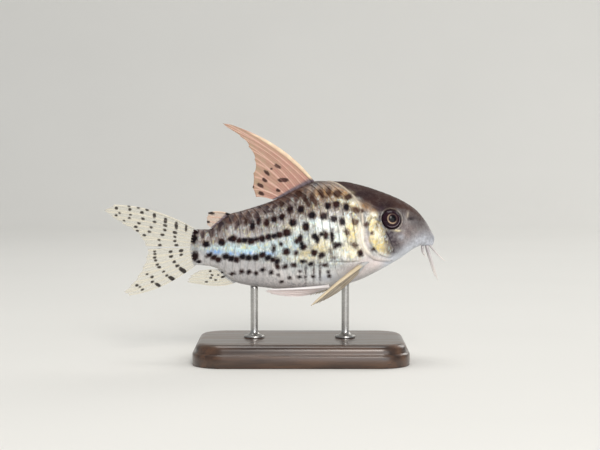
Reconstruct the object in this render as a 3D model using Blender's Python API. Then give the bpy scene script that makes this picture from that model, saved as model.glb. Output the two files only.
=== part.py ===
"""Corydoras catfish, life size, as a still display model on a base with two rods.

Frame: metres, +Z up, the snout points along +X, and the origin is the middle of the foot of
the whole model. The fish is built in its own frame, hung on an empty: there x is minus the
distance behind the snout tip, y is positive on the fish's left, and z is the height above the
body axis, a level line through the mouth corner.
"""

import math

import bmesh
import bpy
import numpy as np

MM = 0.001
GAP = 0.3 * MM  # clearance between neighbouring pieces

# Driving dimensions of the fish
STANDARD_LENGTH = 53.1 * MM  # snout tip to the root of the tail fin
TOTAL_LENGTH = 74.2 * MM  # snout tip to the tip of the upper tail lobe
BARBEL_REACH = 2.27 * MM  # how far the front barbel stands ahead of the snout
AXIS_HEIGHT = 26.0 * MM  # body axis above the table
SNOUT_X = (TOTAL_LENGTH - BARBEL_REACH) / 2

# Outline of the body, in mm: distance behind the snout tip, then height of the back and of
# the belly, half width, and height of the widest place
STATIONS = (
    (0.0, 1.3, 1.3, 0.0, 1.3),
    (0.6, 2.8, -0.1, 1.45, 1.2),
    (2.1, 5.4, 0.2, 2.6, 1.6),
    (4.4, 8.0, -0.7, 3.9, 1.6),
    (7.7, 10.1, -2.95, 5.1, 1.2),
    (12.2, 12.0, -5.55, 6.3, 0.0),
    (16.7, 13.4, -7.75, 7.0, -1.6),
    (20.5, 14.15, -9.0, 7.3, -2.6),
    (26.4, 14.3, -10.2, 7.1, -3.0),
    (31.0, 12.5, -10.2, 6.4, -2.7),
    (36.3, 9.9, -9.8, 5.2, -2.1),
    (43.7, 7.5, -8.8, 3.4, -1.2),
    (45.9, 6.9, -7.7, 2.9, -0.9),
    (48.2, 5.1, -5.7, 2.3, -0.7),
    (50.8, 3.4, -4.8, 1.8, -0.6),
    (53.1, 3.4, -4.6, 1.2, -0.6),
)
SNOUT_POWER = 0.85  # rounds the top of the snout
BACK_POWER = 1.2  # over 1 draws the back in to a ridge
SNOUT_TURNS_BACK = (3.0, 22.0)  # mm, where the round snout becomes the ridged back
BELLY_POWER = 0.62  # under 1 makes the belly broad and flat
TAIL_BELLY_POWER = 1.0
BELLY_TURNS_TAIL = (38.0, 47.0)  # mm, where the flat belly becomes a keel

# Rear edge of the head, as turn round the section (0 back, 1 belly) and mm behind the snout
HEAD_EDGE = (
    (0.0, 23.8),
    (0.12, 20.5),
    (0.25, 16.9),
    (0.45, 15.6),
    (0.6, 14.2),
    (0.75, 12.3),
    (1.0, 11.6),
)
HEAD_RINGS = 22
FIRST_RING = 0.12  # root of the first head ring's share of the way to the head's edge
NORMAL_STEPS = (0.05 * MM, 0.004)  # along the body and round it, for working out normals
CUT = 0.45 * MM  # the cut behind the head, measured along the body, which it crosses aslant

# Bony plates in two rows down each flank
PLATES = 22
TRUNK_PLATES = 18
PLATE_STEP = 0.2 * MM  # height of each plate's free rear edge
PLATE_LIP = 0.1 * MM  # length of the fall behind that edge
MID_TURN = 0.47  # where the upper row meets the lower one
PLATE_BULGE = 0.5 * MM
BULGE_FADES = 0.1  # share of the body at either end where the bulge dies away
LOWER_LEAN = 2.6 * MM  # how far the lower row leans back at the belly
COLUMNS_ABOVE = 10
COLUMNS_BELOW = 9
MID_SEAM = 0.03  # half the width of the seam between the rows, as turn
BACK_SEAM = (0.02, 0.06)  # turns between which the plates rise beside the back's ridge
BELLY_EDGE = (0.66, 0.90)  # turn where the plates end below, at the shoulder and the tail
BELLY_EDGE_SINKS = (0.55, 0.8)  # shares of the body between which that edge moves down
BELLY_FADE = 0.1  # turn over which the plates sink into the belly
SHOULDER = (0.08, 0.22)  # shares of the body between which the lower row begins
SHOULDER_TURNS = (0.5, 0.56)  # turns over which the shoulder's plates sink

# Eye, nostril and mouth
EYE_RADIUS = 2.08 * MM
EYE_DEPTH = 1.5 * MM
EYE_PLACE = (9.9 * MM, 6.0 * MM)  # behind the snout, above the axis
EYE_SINK = 0.65 * MM  # how far its middle lies under the skin
EYE_LOOKS = (0.2, 1.0, 0.22)  # ahead, outwards and up
ORBIT_RIM = 0.34 * MM
RIM_SINK = 0.15 * MM  # how far the rim's middle lies under the skin
NOSTRIL_PLACE = (5.75 * MM, 6.3 * MM)
NOSTRIL_RADIUS = 0.5 * MM
NOSTRIL_RIM = 0.2 * MM
NOSTRIL_PIT = (0.4 * MM, 0.31 * MM, 0.31 * MM)  # depth, then half its width each way
MOUTH_BEHIND = 1.9 * MM
MOUTH_HEIGHT = 0.05 * MM
MOUTH_HALF_LENGTH = 0.95 * MM
MOUTH_HALF_WIDTH = 1.65 * MM
LIP_RADIUS = 0.46 * MM
MOUTH_TILT = math.radians(-8)
MOUTH_OPENING = (0.6 * MM, 0.5 * MM, 1.15 * MM)  # depth, half length, half width
EYE_SIDES, EYE_RINGS = 28, 12
NOSTRIL_SIDES, NOSTRIL_TUBE_SIDES, NOSTRIL_RINGS = 12, 6, 8
MOUTH_SIDES, MOUTH_RINGS = 20, 8

# Gill cover, as seen from the side: mm behind the snout, mm above the axis
GILL_COVER = (
    (14.1, 7.0),
    (15.2, 5.0),
    (15.0, 1.6),
    (13.7, -1.0),
    (11.6, -2.3),
    (9.5, -2.5),
    (9.7, 0.0),
    (10.6, 2.4),
    (11.8, 4.6),
)
COVER_PROUD = 0.16 * MM
COVER_THICK = 0.7 * MM
COVER_REACH = (3.2 * MM, 9.0 * MM)  # the cut's span outward from the middle plane

# Barbels: place round the lips in degrees (0 behind the mouth, 90 at its corner, 180 in
# front), a point on the way and the tip, both as mm behind the snout, from the middle plane
# and above the axis, then the thickness
BARBELS = {
    "barbel_long": (92, (0.85, 3.1, -3.4), (-0.55, 3.3, -7.7), 0.6 * MM),
    "barbel_front": (132, (-0.6, 2.9, -2.1), (-2.2, 3.7, -3.5), 0.6 * MM),
    "barbel_chin": (40, (2.6, 1.45, -1.7), (1.9, 1.7, -2.8), 0.5 * MM),
}
BARBEL_TIP = 0.24 * MM
BARBEL_STEPS, BARBEL_SIDES = 12, 8

# Fins
MEMBRANE = 0.5 * MM
RAY = 0.8 * MM
RAY_SHARE = 0.3  # of the spacing of the rays that one ray fills
RAY_TAPER = 0.7  # of a ray's rise over the membrane that is gone at the fin's margin
SPINE_REACH = 0.9  # of the first spacing of the rays that the spine's thickness fills
FIN_TIP = 0.3 * MM
THINS_FROM = 0.82  # share of the way out from which a fin thins to its tip
SPINE = 1.25 * MM
ADIPOSE_SPINE = 1.0 * MM
FIN_GRIDS = {  # rays, and rows from root to tip
    "dorsal_fin": (8, 9),
    "adipose_fin": (4, 6),
    "anal_fin": (7, 7),
    "tail_fin_upper": (7, 11),
    "tail_fin_lower": (7, 10),
    "pectoral_fin": (8, 9),
    "pelvic_fin": (6, 8),
}

# Fins of the middle plane, in mm: behind the snout and above the axis. Bows are sideways
RIDGE_ROOTS = 7  # points along a root that follows the back or the belly
DORSAL_ROOT = (27.2, 36.4)
DORSAL_TIPS = (
    (41.6, 25.4),
    (47.6, 27.3),
    (44.4, 24.8),
    (41.8, 21.2),
    (40.3, 17.4),
    (41.0, 13.2),
    (40.1, 10.7),
)
DORSAL_BOWS = ((-1.2, 0.9), (-0.9, 0.8), (-0.3, 0.5), (0.0, 0.3), (0.2, 0.2))
ADIPOSE_ROOT = (46.2, 50.2)
ADIPOSE_TIPS = ((50.9, 7.2), (51.2, 5.6), (51.1, 4.6))
ADIPOSE_BOWS = ((0.0, 0.35), (0.0, 0.1), (0.0, 0.0))
ANAL_ROOT = (44.9, 49.0)
ANAL_TIPS = ((52.5, -9.0), (55.8, -8.4), (54.9, -7.0), (53.0, -5.9))
ANAL_BOWS = ((-0.5, -0.5), (-0.4, -0.2), (0.0, 0.1))
UPPER_ROOTS = ((53.4, 3.3), (53.7, 1.4), (53.7, -0.4))
UPPER_TIPS = (
    (72.0, 9.0),
    (74.2, 7.7),
    (72.2, 6.0),
    (70.0, 4.6),
    (67.7, 3.3),
    (66.0, 1.6),
    (64.9, -0.45),
)
UPPER_BOWS = ((0.0, 1.75), (0.0, 0.9), (0.0, 0.3), (0.0, 0.0))
LOWER_ROOTS = ((53.4, -4.5), (53.7, -2.6), (53.7, -0.7))
LOWER_TIPS = (
    (68.8, -11.5),
    (69.9, -10.7),
    (68.2, -9.0),
    (66.7, -7.0),
    (65.6, -5.0),
    (64.8, -2.9),
    (64.5, -0.95),
)
LOWER_BOWS = ((0.0, -1.3), (0.0, -0.6), (0.0, -0.2), (0.0, 0.0))

# Paired fins on the left, in mm: roots as behind and above, the rest as points of its frame
PECTORAL_ROOTS = ((16.4, -3.6), (16.9, -4.5), (17.2, -5.3))
PECTORAL_TIPS = ((-27.8, 11.2, -12.6), (-26.5, 9.6, -12.3), (-24.6, 8.3, -11.6), (-22.4, 7.4, -10.4))
PECTORAL_BOWS = ((0.4, 0.9, 0.7), (0.2, 0.8, 0.2), (0.0, 0.5, -0.2))
PELVIC_ROOTS = ((24.6, -8.5), (25.6, -9.2), (26.7, -9.8))
PELVIC_TIPS = ((-37.2, 6.7, -9.5), (-38.0, 6.2, -9.9), (-36.2, 5.9, -10.6), (-33.6, 5.7, -11.0))
PELVIC_BOWS = ((0.3, 0.8, 0.0), (0.2, 0.6, -0.3), (0.0, 0.4, -0.4))

# Stand
BASE_SIZE = (48 * MM, 30 * MM, 5 * MM)
BASE_X = 6 * MM
BASE_CORNER = 7 * MM
CORNER_STEPS = 6
EDGE_PROFILE = ((0.0, 0.0), (0.0, 2.7), (0.6, 3.0), (0.7, 4.0), (1.3, 4.75), (2.3, 5.0))  # mm in and up
ROD_RADIUS = 0.85 * MM
FOOT_PROFILE = ((2.3, 0.0), (2.3, 0.54), (1.84, 0.9), (0.85, 0.9))  # mm out and up
ROD_BEHIND = {"stand_rod_front": 20.0 * MM, "stand_rod_rear": 40.5 * MM}
ROD_SIDES = 14
SHARP_ANGLE = math.radians(40)


def curve_through(places, values, at):
    """A smooth curve through a few points that never swings past them (monotone cubic)."""
    places, values, at = (np.asarray(a, float) for a in (places, values, at))
    step = np.diff(places)
    slope = np.diff(values) / step
    same_way = slope[:-1] * slope[1:] > 0
    with np.errstate(divide="ignore", invalid="ignore"):
        inner = 2 * slope[:-1] * slope[1:] / (slope[:-1] + slope[1:])
    tangent = np.concatenate([slope[:1], np.where(same_way, inner, 0.0), slope[-1:]])
    i = np.clip(np.searchsorted(places, at, side="right") - 1, 0, len(step) - 1)
    t = np.clip((at - places[i]) / step[i], 0, 1)
    rise = values[i] * (1 + 2 * t) * (1 - t) ** 2 + values[i + 1] * t * t * (3 - 2 * t)
    return rise + step[i] * (tangent[i] * t * (1 - t) ** 2 - tangent[i + 1] * t * t * (1 - t))


def ease(low, high, at):
    """0 below low, 1 above high and a smooth rise between."""
    t = np.clip((np.asarray(at, float) - low) / (high - low), 0, 1)
    return t * t * (3 - 2 * t)


def outline(behind):
    """Back, belly, half width and widest height at distances behind the snout tip.

    The curves run over the square root of the distance, which rounds the snout.
    """
    table = np.array(STATIONS) * MM
    at = np.sqrt(np.clip(behind, 0, STANDARD_LENGTH))
    return [curve_through(np.sqrt(table[:, 0]), table[:, k], at) for k in range(1, 5)]


def back_power(behind):
    """The power that shapes the upper half of the section."""
    low, high = (mm * MM for mm in SNOUT_TURNS_BACK)
    return SNOUT_POWER + (BACK_POWER - SNOUT_POWER) * ease(low, high, behind)


def belly_power(behind):
    """The power that shapes the lower half of the section."""
    low, high = (mm * MM for mm in BELLY_TURNS_TAIL)
    return BELLY_POWER + (TAIL_BELLY_POWER - BELLY_POWER) * ease(low, high, behind)


def skin(behind, turn):
    """Points of the body's surface. Turn runs from 0 on the back to 1 on the belly down the
    left side and on to 2 up the right side."""
    behind, turn = np.broadcast_arrays(np.asarray(behind, float), np.asarray(turn, float))
    back, belly, half_width, widest = outline(behind)
    side = np.where(turn <= 1, 1.0, -1.0)
    angle = np.pi * np.where(turn <= 1, turn, 2 - turn)
    sine, cosine = np.clip(np.sin(angle), 0, 1), np.cos(angle)
    power = np.where(cosine >= 0, back_power(behind), belly_power(behind))
    y = side * half_width * np.where(sine < 1e-9, 0, sine) ** power
    z = widest + np.where(cosine >= 0, back - widest, widest - belly) * cosine
    return np.stack([-behind, y, z], -1)


def skin_normal(behind, turn):
    """Outward unit normals of the body's surface, from small steps along it."""
    d_behind, d_turn = NORMAL_STEPS
    along = skin(behind + d_behind, turn) - skin(np.maximum(behind - d_behind, 0), turn)
    across = skin(behind, turn + d_turn) - skin(behind, turn - d_turn)
    normal = np.cross(across, along)
    return normal / np.maximum(np.linalg.norm(normal, axis=-1, keepdims=True), 1e-12)


def turn_at(behind, height):
    """The turn on the left side at which the skin has that height."""
    back, belly, _, widest = outline(behind)
    reach = np.where(height >= widest, back - widest, widest - belly)
    return np.arccos(np.clip((height - widest) / reach, -1, 1)) / np.pi


def on_skin(behind, height, side, off=0.0):
    """A point on the flank at that distance and height, side +1 left or -1 right."""
    turn = turn_at(behind, height)
    point = skin(behind, turn) + skin_normal(behind, turn) * off
    return point * np.array([1, side, 1])


def columns():
    """Turns of the mesh columns, closer together beside the seam between the plate rows."""
    above = np.linspace(0, MID_TURN - MID_SEAM, COLUMNS_ABOVE)
    below = np.linspace(MID_TURN + MID_SEAM, 1, COLUMNS_BELOW)
    left = np.concatenate([above, [MID_TURN], below])
    return np.concatenate([left, 2 - left[-2:0:-1]])


def folded(turn):
    """The turn of the same place on the left side."""
    return np.where(turn <= 1, turn, 2 - turn)


def head_edge(turn):
    """How far behind the snout the head ends."""
    table = np.array(HEAD_EDGE)
    return curve_through(table[:, 0], table[:, 1] * MM, folded(turn))


def plate_edge(number, turn):
    """Front edge of a plate: the plates share out the space from the head to the tail fin,
    and each row's edge bulges to the rear, so that the rows meet in a forward notch."""
    turn = folded(turn)
    share = number / PLATES
    front = head_edge(turn) + CUT
    upper, lower = turn / MID_TURN, (turn - MID_TURN) / (1 - MID_TURN)
    row = np.where(turn < MID_TURN, upper, lower)
    middle = math.sin(math.pi * share)
    fade = ease(0, BULGE_FADES, share) * ease(0, BULGE_FADES, 1 - share)
    bulge = PLATE_BULGE * np.sin(np.pi * row) * fade
    lean = LOWER_LEAN * np.maximum(lower, 0) * middle
    return front + (STANDARD_LENGTH - front) * share + bulge + lean


def plate_mask(number, turn):
    """1 where plates stand up from the skin: not on the midlines, the seam or the belly."""
    turn = folded(turn)
    share = number / PLATES
    seam = ease(MID_SEAM / 3, MID_SEAM, np.abs(turn - MID_TURN))
    high, low = BELLY_EDGE
    belly_edge = high + (low - high) * ease(*BELLY_EDGE_SINKS, share)
    shoulder = 1 - (1 - ease(*SHOULDER, share)) * ease(*SHOULDER_TURNS, turn)
    belly = 1 - ease(belly_edge, belly_edge + BELLY_FADE, turn)
    return ease(*BACK_SEAM, turn) * seam * belly * shoulder


def object_from(name, vertices, triangles, parent=None):
    """A named object made of these triangles, turned to face outwards."""
    vertices, triangles = np.asarray(vertices, float), np.asarray(triangles, int)
    corners = vertices[triangles]
    volume = np.einsum("ij,ij->i", corners[:, 0], np.cross(corners[:, 1], corners[:, 2])).sum()
    if volume < 0:
        triangles = triangles[:, ::-1]
    mesh = bpy.data.meshes.new(name)
    mesh.from_pydata(vertices.tolist(), [], triangles.tolist())
    mesh.validate()
    made = bpy.data.objects.new(name, mesh)
    bpy.context.scene.collection.objects.link(made)
    made.parent = parent
    return made


def lofted(rings, front_point, rear_point):
    """Vertices and triangles of a tube of closed rings, with a fan over each end."""
    rings = np.asarray(rings)
    count, around = rings.shape[:2]
    index = np.arange(count * around).reshape(count, around)
    ahead = np.roll(index, -1, axis=1)
    a, b, c, d = index[:-1], index[1:], ahead[1:], ahead[:-1]
    sides = np.concatenate([np.stack(t, -1).reshape(-1, 3) for t in ((a, b, c), (a, c, d))])
    front, rear = count * around, count * around + 1
    first = np.stack([np.full(around, front), index[0], ahead[0]], -1)
    last = np.stack([np.full(around, rear), ahead[-1], index[-1]], -1)
    vertices = np.concatenate([rings.reshape(-1, 3), [front_point, rear_point]])
    return vertices, np.concatenate([sides, first, last])


def middle_of(ring):
    """A point on the middle plane inside a ring, at its mean distance and height."""
    mean = np.mean(ring, axis=0)
    return np.array([mean[0], 0.0, mean[2]])


def head_shell(offset=0.0):
    """Vertices and triangles of the head, its skin moved out by offset."""
    turns = columns()
    shares = np.linspace(FIRST_RING, 1, HEAD_RINGS) ** 2
    behind = shares[:, None] * head_edge(turns)[None, :]
    turns = np.broadcast_to(turns, behind.shape)
    rings = skin(behind, turns) + skin_normal(behind, turns) * offset
    tip = np.array([offset, 0.0, outline(0.0)[0]])
    return lofted(rings, tip, middle_of(rings[-1]))


def plated_shell(first, last, rear_gap):
    """Vertices and triangles of the body from one plate number to another."""
    turns = columns()
    rings = []
    for number in range(first, last):
        front = plate_edge(number, turns)
        fall = rear_gap if number == last - 1 else PLATE_LIP
        rear = plate_edge(number + 1, turns) - fall
        rise = PLATE_STEP * plate_mask(number + 0.5, turns)
        rings.append(skin(front, turns))
        rings.append(skin(rear, turns) + skin_normal(rear, turns) * rise[:, None])
    return lofted(rings, middle_of(rings[0]), middle_of(rings[-1]))


def along_path(points, count):
    """Points spaced evenly on a smooth curve through a few given ones."""
    points = np.asarray(points, float)
    lengths = np.linalg.norm(np.diff(points, axis=0), axis=1)
    run = np.concatenate([[0], np.cumsum(lengths)])
    at = np.linspace(0, run[-1], count)
    return np.stack([curve_through(run, points[:, k], at) for k in range(3)], -1)


def tube(path, radii, sides):
    """Vertices and triangles of a tube round a path, with its ends closed."""
    path, radii = np.asarray(path, float), np.asarray(radii, float)
    tangent = np.gradient(path, axis=0)
    tangent /= np.linalg.norm(tangent, axis=1, keepdims=True)
    spread = np.ptp(path, axis=0)
    up = np.eye(3)[int(np.argmin(spread))]
    first = np.cross(tangent, up)
    first /= np.linalg.norm(first, axis=1, keepdims=True)
    second = np.cross(tangent, first)
    angle = np.linspace(0, 2 * np.pi, sides, endpoint=False)
    ring = np.cos(angle)[None, :, None] * first[:, None] + np.sin(angle)[None, :, None] * second[:, None]
    rings = path[:, None] + ring * radii[:, None, None]
    return lofted(rings, path[0], path[-1])


def ellipsoid(middle, radii, turned=None, around=24, rings=12):
    """Vertices and triangles of an ellipsoid. Its first radius lies along its own x axis."""
    polar = np.linspace(0, np.pi, rings + 1)[1:-1]
    angle = np.linspace(0, 2 * np.pi, around, endpoint=False)
    unit = np.stack(
        [
            np.broadcast_to(np.cos(polar)[:, None], (rings - 1, around)),
            np.sin(polar)[:, None] * np.cos(angle),
            np.sin(polar)[:, None] * np.sin(angle),
        ],
        -1,
    )
    turned = np.eye(3) if turned is None else np.asarray(turned)

    def place(points):
        return (points * np.asarray(radii)) @ turned.T + middle

    return lofted(place(unit), place(np.array([1.0, 0, 0])), place(np.array([-1.0, 0, 0])))


def ring_tube(middle, half_length, half_width, radius, turned, around=24, sides=8):
    """Vertices and triangles of a closed tube that runs round an ellipse."""
    angle = np.linspace(0, 2 * np.pi, around, endpoint=False)
    turn = np.linspace(0, 2 * np.pi, sides, endpoint=False)
    out = np.stack([np.zeros(around), np.cos(angle), np.sin(angle)], -1)
    path = out * np.array([0, half_length, half_width])
    axis = np.array([1.0, 0, 0])
    wall = out[:, None] * np.cos(turn)[None, :, None] + axis * np.sin(turn)[None, :, None]
    points = (path[:, None] + wall * radius) @ np.asarray(turned).T + middle
    index = np.arange(around * sides).reshape(around, sides)
    a, b = index, np.roll(index, -1, axis=0)
    c, d = np.roll(b, -1, axis=1), np.roll(a, -1, axis=1)
    triangles = np.concatenate([np.stack(t, -1).reshape(-1, 3) for t in ((a, b, c), (a, c, d))])
    return points.reshape(-1, 3), triangles


def axes_along(direction):
    """A rotation whose first column is the direction, with the second near level."""
    first = np.asarray(direction, float)
    first = first / np.linalg.norm(first)
    second = np.cross([0.0, 0.0, 1.0], first)
    second /= np.linalg.norm(second)
    return np.stack([first, second, np.cross(first, second)], -1)


def combine(target, pieces, operation):
    """Joins or cuts the target with closed pieces in one Boolean, and removes the pieces."""
    group = bpy.data.collections.new("pieces")
    bpy.context.scene.collection.children.link(group)
    for piece in pieces:
        bpy.context.scene.collection.objects.unlink(piece)
        group.objects.link(piece)
    modifier = target.modifiers.new("combine", "BOOLEAN")
    modifier.operation = operation
    modifier.solver = "EXACT"
    modifier.operand_type = "COLLECTION"
    modifier.collection = group
    bpy.context.view_layer.update()
    graph = bpy.context.evaluated_depsgraph_get()
    result = bpy.data.meshes.new_from_object(target.evaluated_get(graph))
    target.modifiers.clear()
    target.data = result
    for piece in list(group.objects):
        bpy.data.objects.remove(piece)
    bpy.data.collections.remove(group)
    keep_largest(target)


def keep_largest(target):
    """Keeps only the largest connected surface of the object, in triangles."""
    mesh = bmesh.new()
    mesh.from_mesh(target.data)
    bmesh.ops.triangulate(mesh, faces=mesh.faces[:])
    islands, seen = [], set()
    for face in mesh.faces:
        if face in seen:
            continue
        island, stack = [], [face]
        seen.add(face)
        while stack:
            current = stack.pop()
            island.append(current)
            for edge in current.edges:
                for other in edge.link_faces:
                    if other not in seen:
                        seen.add(other)
                        stack.append(other)
        islands.append(island)
    islands.sort(key=len)
    for island in islands[:-1]:
        bmesh.ops.delete(mesh, geom=island, context="FACES")
    mesh.to_mesh(target.data)
    mesh.free()


def eye_frame(side):
    """The middle of an eye and the rotation that points it outwards."""
    behind, height = EYE_PLACE
    surface = on_skin(behind, height, side)
    direction = np.array(EYE_LOOKS) * np.array([1, side, 1])
    direction /= np.linalg.norm(direction)
    return surface - direction * EYE_SINK, axes_along(direction)


def nostril_frame(side):
    """The middle of a nostril and the rotation that points it outwards."""
    behind, height = NOSTRIL_PLACE
    turn = turn_at(behind, height)
    normal = skin_normal(behind, turn) * np.array([1, side, 1])
    return on_skin(behind, height, side), axes_along(normal)


def mouth_frame():
    """The middle of the mouth and the rotation that points it down."""
    down = np.array([math.sin(-MOUTH_TILT), 0.0, -math.cos(MOUTH_TILT)])
    turned = np.stack([down, np.cross([0, 1.0, 0], down), [0, 1.0, 0]], -1)
    return np.array([-MOUTH_BEHIND, 0.0, MOUTH_HEIGHT]), turned


def gill_outline(grown):
    """The gill cover's outline in the side view, smoothed and moved out by grown."""
    corners = np.array(GILL_COVER) * MM
    points = corners
    for _ in range(2):
        following = np.roll(points, -1, axis=0)
        quarter = 0.75 * points + 0.25 * following
        three_quarters = 0.25 * points + 0.75 * following
        points = np.stack([quarter, three_quarters], 1).reshape(-1, 2)
    tangent = np.roll(points, -1, axis=0) - np.roll(points, 1, axis=0)
    outward = np.stack([tangent[:, 1], -tangent[:, 0]], -1)
    outward /= np.linalg.norm(outward, axis=1, keepdims=True)
    away = np.einsum("ij,ij->i", outward, points - points.mean(axis=0)).sum()
    return points + outward * grown * np.sign(away)


def gill_prism(name, side, grown, parent):
    """A block with the gill cover's outline that runs outwards through the cheek."""
    flat = gill_outline(grown)
    rings = [
        np.stack([-flat[:, 0], np.full(len(flat), side * reach), flat[:, 1]], -1)
        for reach in COVER_REACH
    ]
    vertices, triangles = lofted(rings, middle_at(rings[0]), middle_at(rings[1]))
    return object_from(name, vertices, triangles, parent)


def middle_at(ring):
    """The mean point of a ring."""
    return np.mean(ring, axis=0)


def make_head(parent):
    """The head: skull, cheeks and snout, with lips, nostrils and rims round the eyes."""
    head = object_from("head", *head_shell(), parent)
    added = []
    for side in (1, -1):
        middle, turned = eye_frame(side)
        outward = turned[:, 0] * (EYE_SINK - RIM_SINK)
        rim_radius = EYE_RADIUS + GAP + ORBIT_RIM / 2
        rim = ring_tube(middle + outward, rim_radius, rim_radius, ORBIT_RIM, turned, EYE_SIDES)
        added.append(object_from("rim", *rim, parent))
        middle, turned = nostril_frame(side)
        shape = (NOSTRIL_RADIUS, NOSTRIL_RADIUS, NOSTRIL_RIM)
        flap = ring_tube(middle, *shape, turned, NOSTRIL_SIDES, NOSTRIL_TUBE_SIDES)
        added.append(object_from("flap", *flap, parent))
    middle, turned = mouth_frame()
    lips = ring_tube(middle, MOUTH_HALF_LENGTH, MOUTH_HALF_WIDTH, LIP_RADIUS, turned)
    added.append(object_from("lips", *lips, parent))
    combine(head, added, "UNION")

    cuts = []
    for side in (1, -1):
        middle, turned = eye_frame(side)
        socket = (EYE_DEPTH + GAP, EYE_RADIUS + GAP, EYE_RADIUS + GAP)
        hole = ellipsoid(middle, socket, turned, EYE_SIDES, EYE_RINGS)
        cuts.append(object_from("socket", *hole, parent))
        middle, turned = nostril_frame(side)
        hole = ellipsoid(middle, NOSTRIL_PIT, turned, NOSTRIL_SIDES, NOSTRIL_RINGS)
        cuts.append(object_from("pit", *hole, parent))
        block = gill_prism("block", side, GAP, parent)
        inner = object_from("inner", *head_shell(COVER_PROUD - COVER_THICK - GAP), parent)
        combine(block, [inner], "DIFFERENCE")
        cuts.append(block)
    middle, turned = mouth_frame()
    hole = ellipsoid(middle, MOUTH_OPENING, turned, MOUTH_SIDES, MOUTH_RINGS)
    cuts.append(object_from("opening", *hole, parent))
    combine(head, cuts, "DIFFERENCE")
    return head


def make_gill_cover(name, side, parent):
    """A curved plate that lies in a recess of the cheek and stands a little proud of it."""
    cover = gill_prism(name, side, 0.0, parent)
    outer = object_from("outer", *head_shell(COVER_PROUD), parent)
    combine(cover, [outer], "INTERSECT")
    inner = object_from("inner", *head_shell(COVER_PROUD - COVER_THICK), parent)
    combine(cover, [inner], "DIFFERENCE")
    return cover


def make_eye(name, side, parent):
    """An eyeball, flatter than a sphere."""
    middle, turned = eye_frame(side)
    radii = (EYE_DEPTH, EYE_RADIUS, EYE_RADIUS)
    return object_from(name, *ellipsoid(middle, radii, turned), parent)


def lip_root(degrees, side):
    """A point clear of the lips by the gap at a place round them."""
    middle, turned = mouth_frame()
    down, back, left = turned.T
    angle = math.radians(degrees)
    out = back * math.cos(angle) + left * side * math.sin(angle)
    ring = back * MOUTH_HALF_LENGTH * math.cos(angle)
    ring = ring + left * side * MOUTH_HALF_WIDTH * math.sin(angle)
    return middle + ring + (out + down) / math.sqrt(2) * (LIP_RADIUS + GAP)


def make_barbel(name, place, bend, tip, side, thick, parent):
    """A tapered feeler from the lips through its bend to its tip."""
    mirror = np.array([-1, side, 1])
    points = [lip_root(place, side), np.array(bend) * MM * mirror, np.array(tip) * MM * mirror]
    path = along_path(points, BARBEL_STEPS)
    radii = np.linspace(thick, BARBEL_TIP, len(path)) / 2
    return object_from(name, *tube(path, radii, BARBEL_SIDES), parent)


def ray_columns(rays):
    """Places across a fin and how far each stands up: three columns for each ray."""
    spacing = 1 / (rays - 1)
    half = spacing * RAY_SHARE / 2
    places, heights = [], []
    for number in range(rays):
        middle = number * spacing
        for shift, height in ((-half, 0.0), (0.0, 1.0), (half, 0.0)):
            if 0 <= middle + shift <= 1:
                places.append(middle + shift)
                heights.append(height)
    return np.array(places), np.array(heights)


def fin_surface(roots, tips, bows, places, rows):
    """The middle surface of a fin. Roots and tips are points across it, and each line from
    root to tip bends sideways by its bow, a vector at its middle."""
    knots = np.linspace(0, 1, len(roots))
    tip_knots = np.linspace(0, 1, len(tips))
    bow_knots = np.linspace(0, 1, len(bows))
    root = np.stack([curve_through(knots, np.array(roots)[:, k], places) for k in range(3)], -1)
    tip = np.stack([curve_through(tip_knots, np.array(tips)[:, k], places) for k in range(3)], -1)
    bow = np.stack([curve_through(bow_knots, np.array(bows)[:, k], places) for k in range(3)], -1)
    out = np.linspace(0, 1, rows)[:, None, None]
    return root * (1 - out) + tip * out + 4 * out * (1 - out) * bow


def surface_normals(surface):
    """Unit normals of a grid of points."""
    normal = np.cross(np.gradient(surface, axis=0), np.gradient(surface, axis=1))
    return normal / np.maximum(np.linalg.norm(normal, axis=-1, keepdims=True), 1e-15)


def plate_from(surface, half_thickness):
    """Vertices and triangles of a closed plate, with both faces split alike."""
    rows, across = surface.shape[:2]
    lift = surface_normals(surface) * half_thickness[..., None]
    vertices = np.concatenate([(surface + lift).reshape(-1, 3), (surface - lift).reshape(-1, 3)])
    index = np.arange(rows * across).reshape(rows, across)
    a, b, c, d = index[:-1, :-1], index[1:, :-1], index[1:, 1:], index[:-1, 1:]
    upper = np.concatenate([np.stack(t, -1).reshape(-1, 3) for t in ((a, b, c), (a, c, d))])
    lower = upper[:, ::-1] + rows * across
    loop = np.concatenate([index[0, :-1], index[:-1, -1], index[-1, :0:-1], index[:0:-1, 0]])
    following = np.roll(loop, -1)
    shift = rows * across
    rim = np.concatenate(
        [
            np.stack([loop, following, following + shift], -1),
            np.stack([loop, following + shift, loop + shift], -1),
        ]
    )
    return vertices, np.concatenate([upper, lower, rim])


def make_fin(name, roots, tips, bows, grid, parent, spine=RAY):
    """A fin: a membrane with its rays raised on it, and a stouter first ray or spine."""
    rays, rows = grid
    places, heights = ray_columns(rays)
    surface = fin_surface(np.array(roots), np.array(tips), np.array(bows), places, rows)
    out = np.linspace(0, 1, rows)[:, None]
    first = places < SPINE_REACH / (rays - 1)
    stout = np.where(first, spine, RAY)
    ray = MEMBRANE + (stout - MEMBRANE) * heights * (1 - RAY_TAPER * out)
    thinned = ease(THINS_FROM, 1.0, out)
    thickness = ray * (1 - thinned) + FIN_TIP * thinned
    return object_from(name, *plate_from(surface, thickness / 2), parent)


def side_view(points, y=0.0):
    """Points of the middle plane, from mm behind the snout and mm above the axis."""
    return [np.array([-behind, y, height]) * MM for behind, height in points]


def on_ridge(span, row, lift):
    """Roots along the back (row 0) or the belly (row 1), lifted off it."""
    behind = np.linspace(*span, RIDGE_ROOTS) * MM
    return [np.array([-b, 0.0, outline(b)[row] + lift]) for b in behind]


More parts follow.
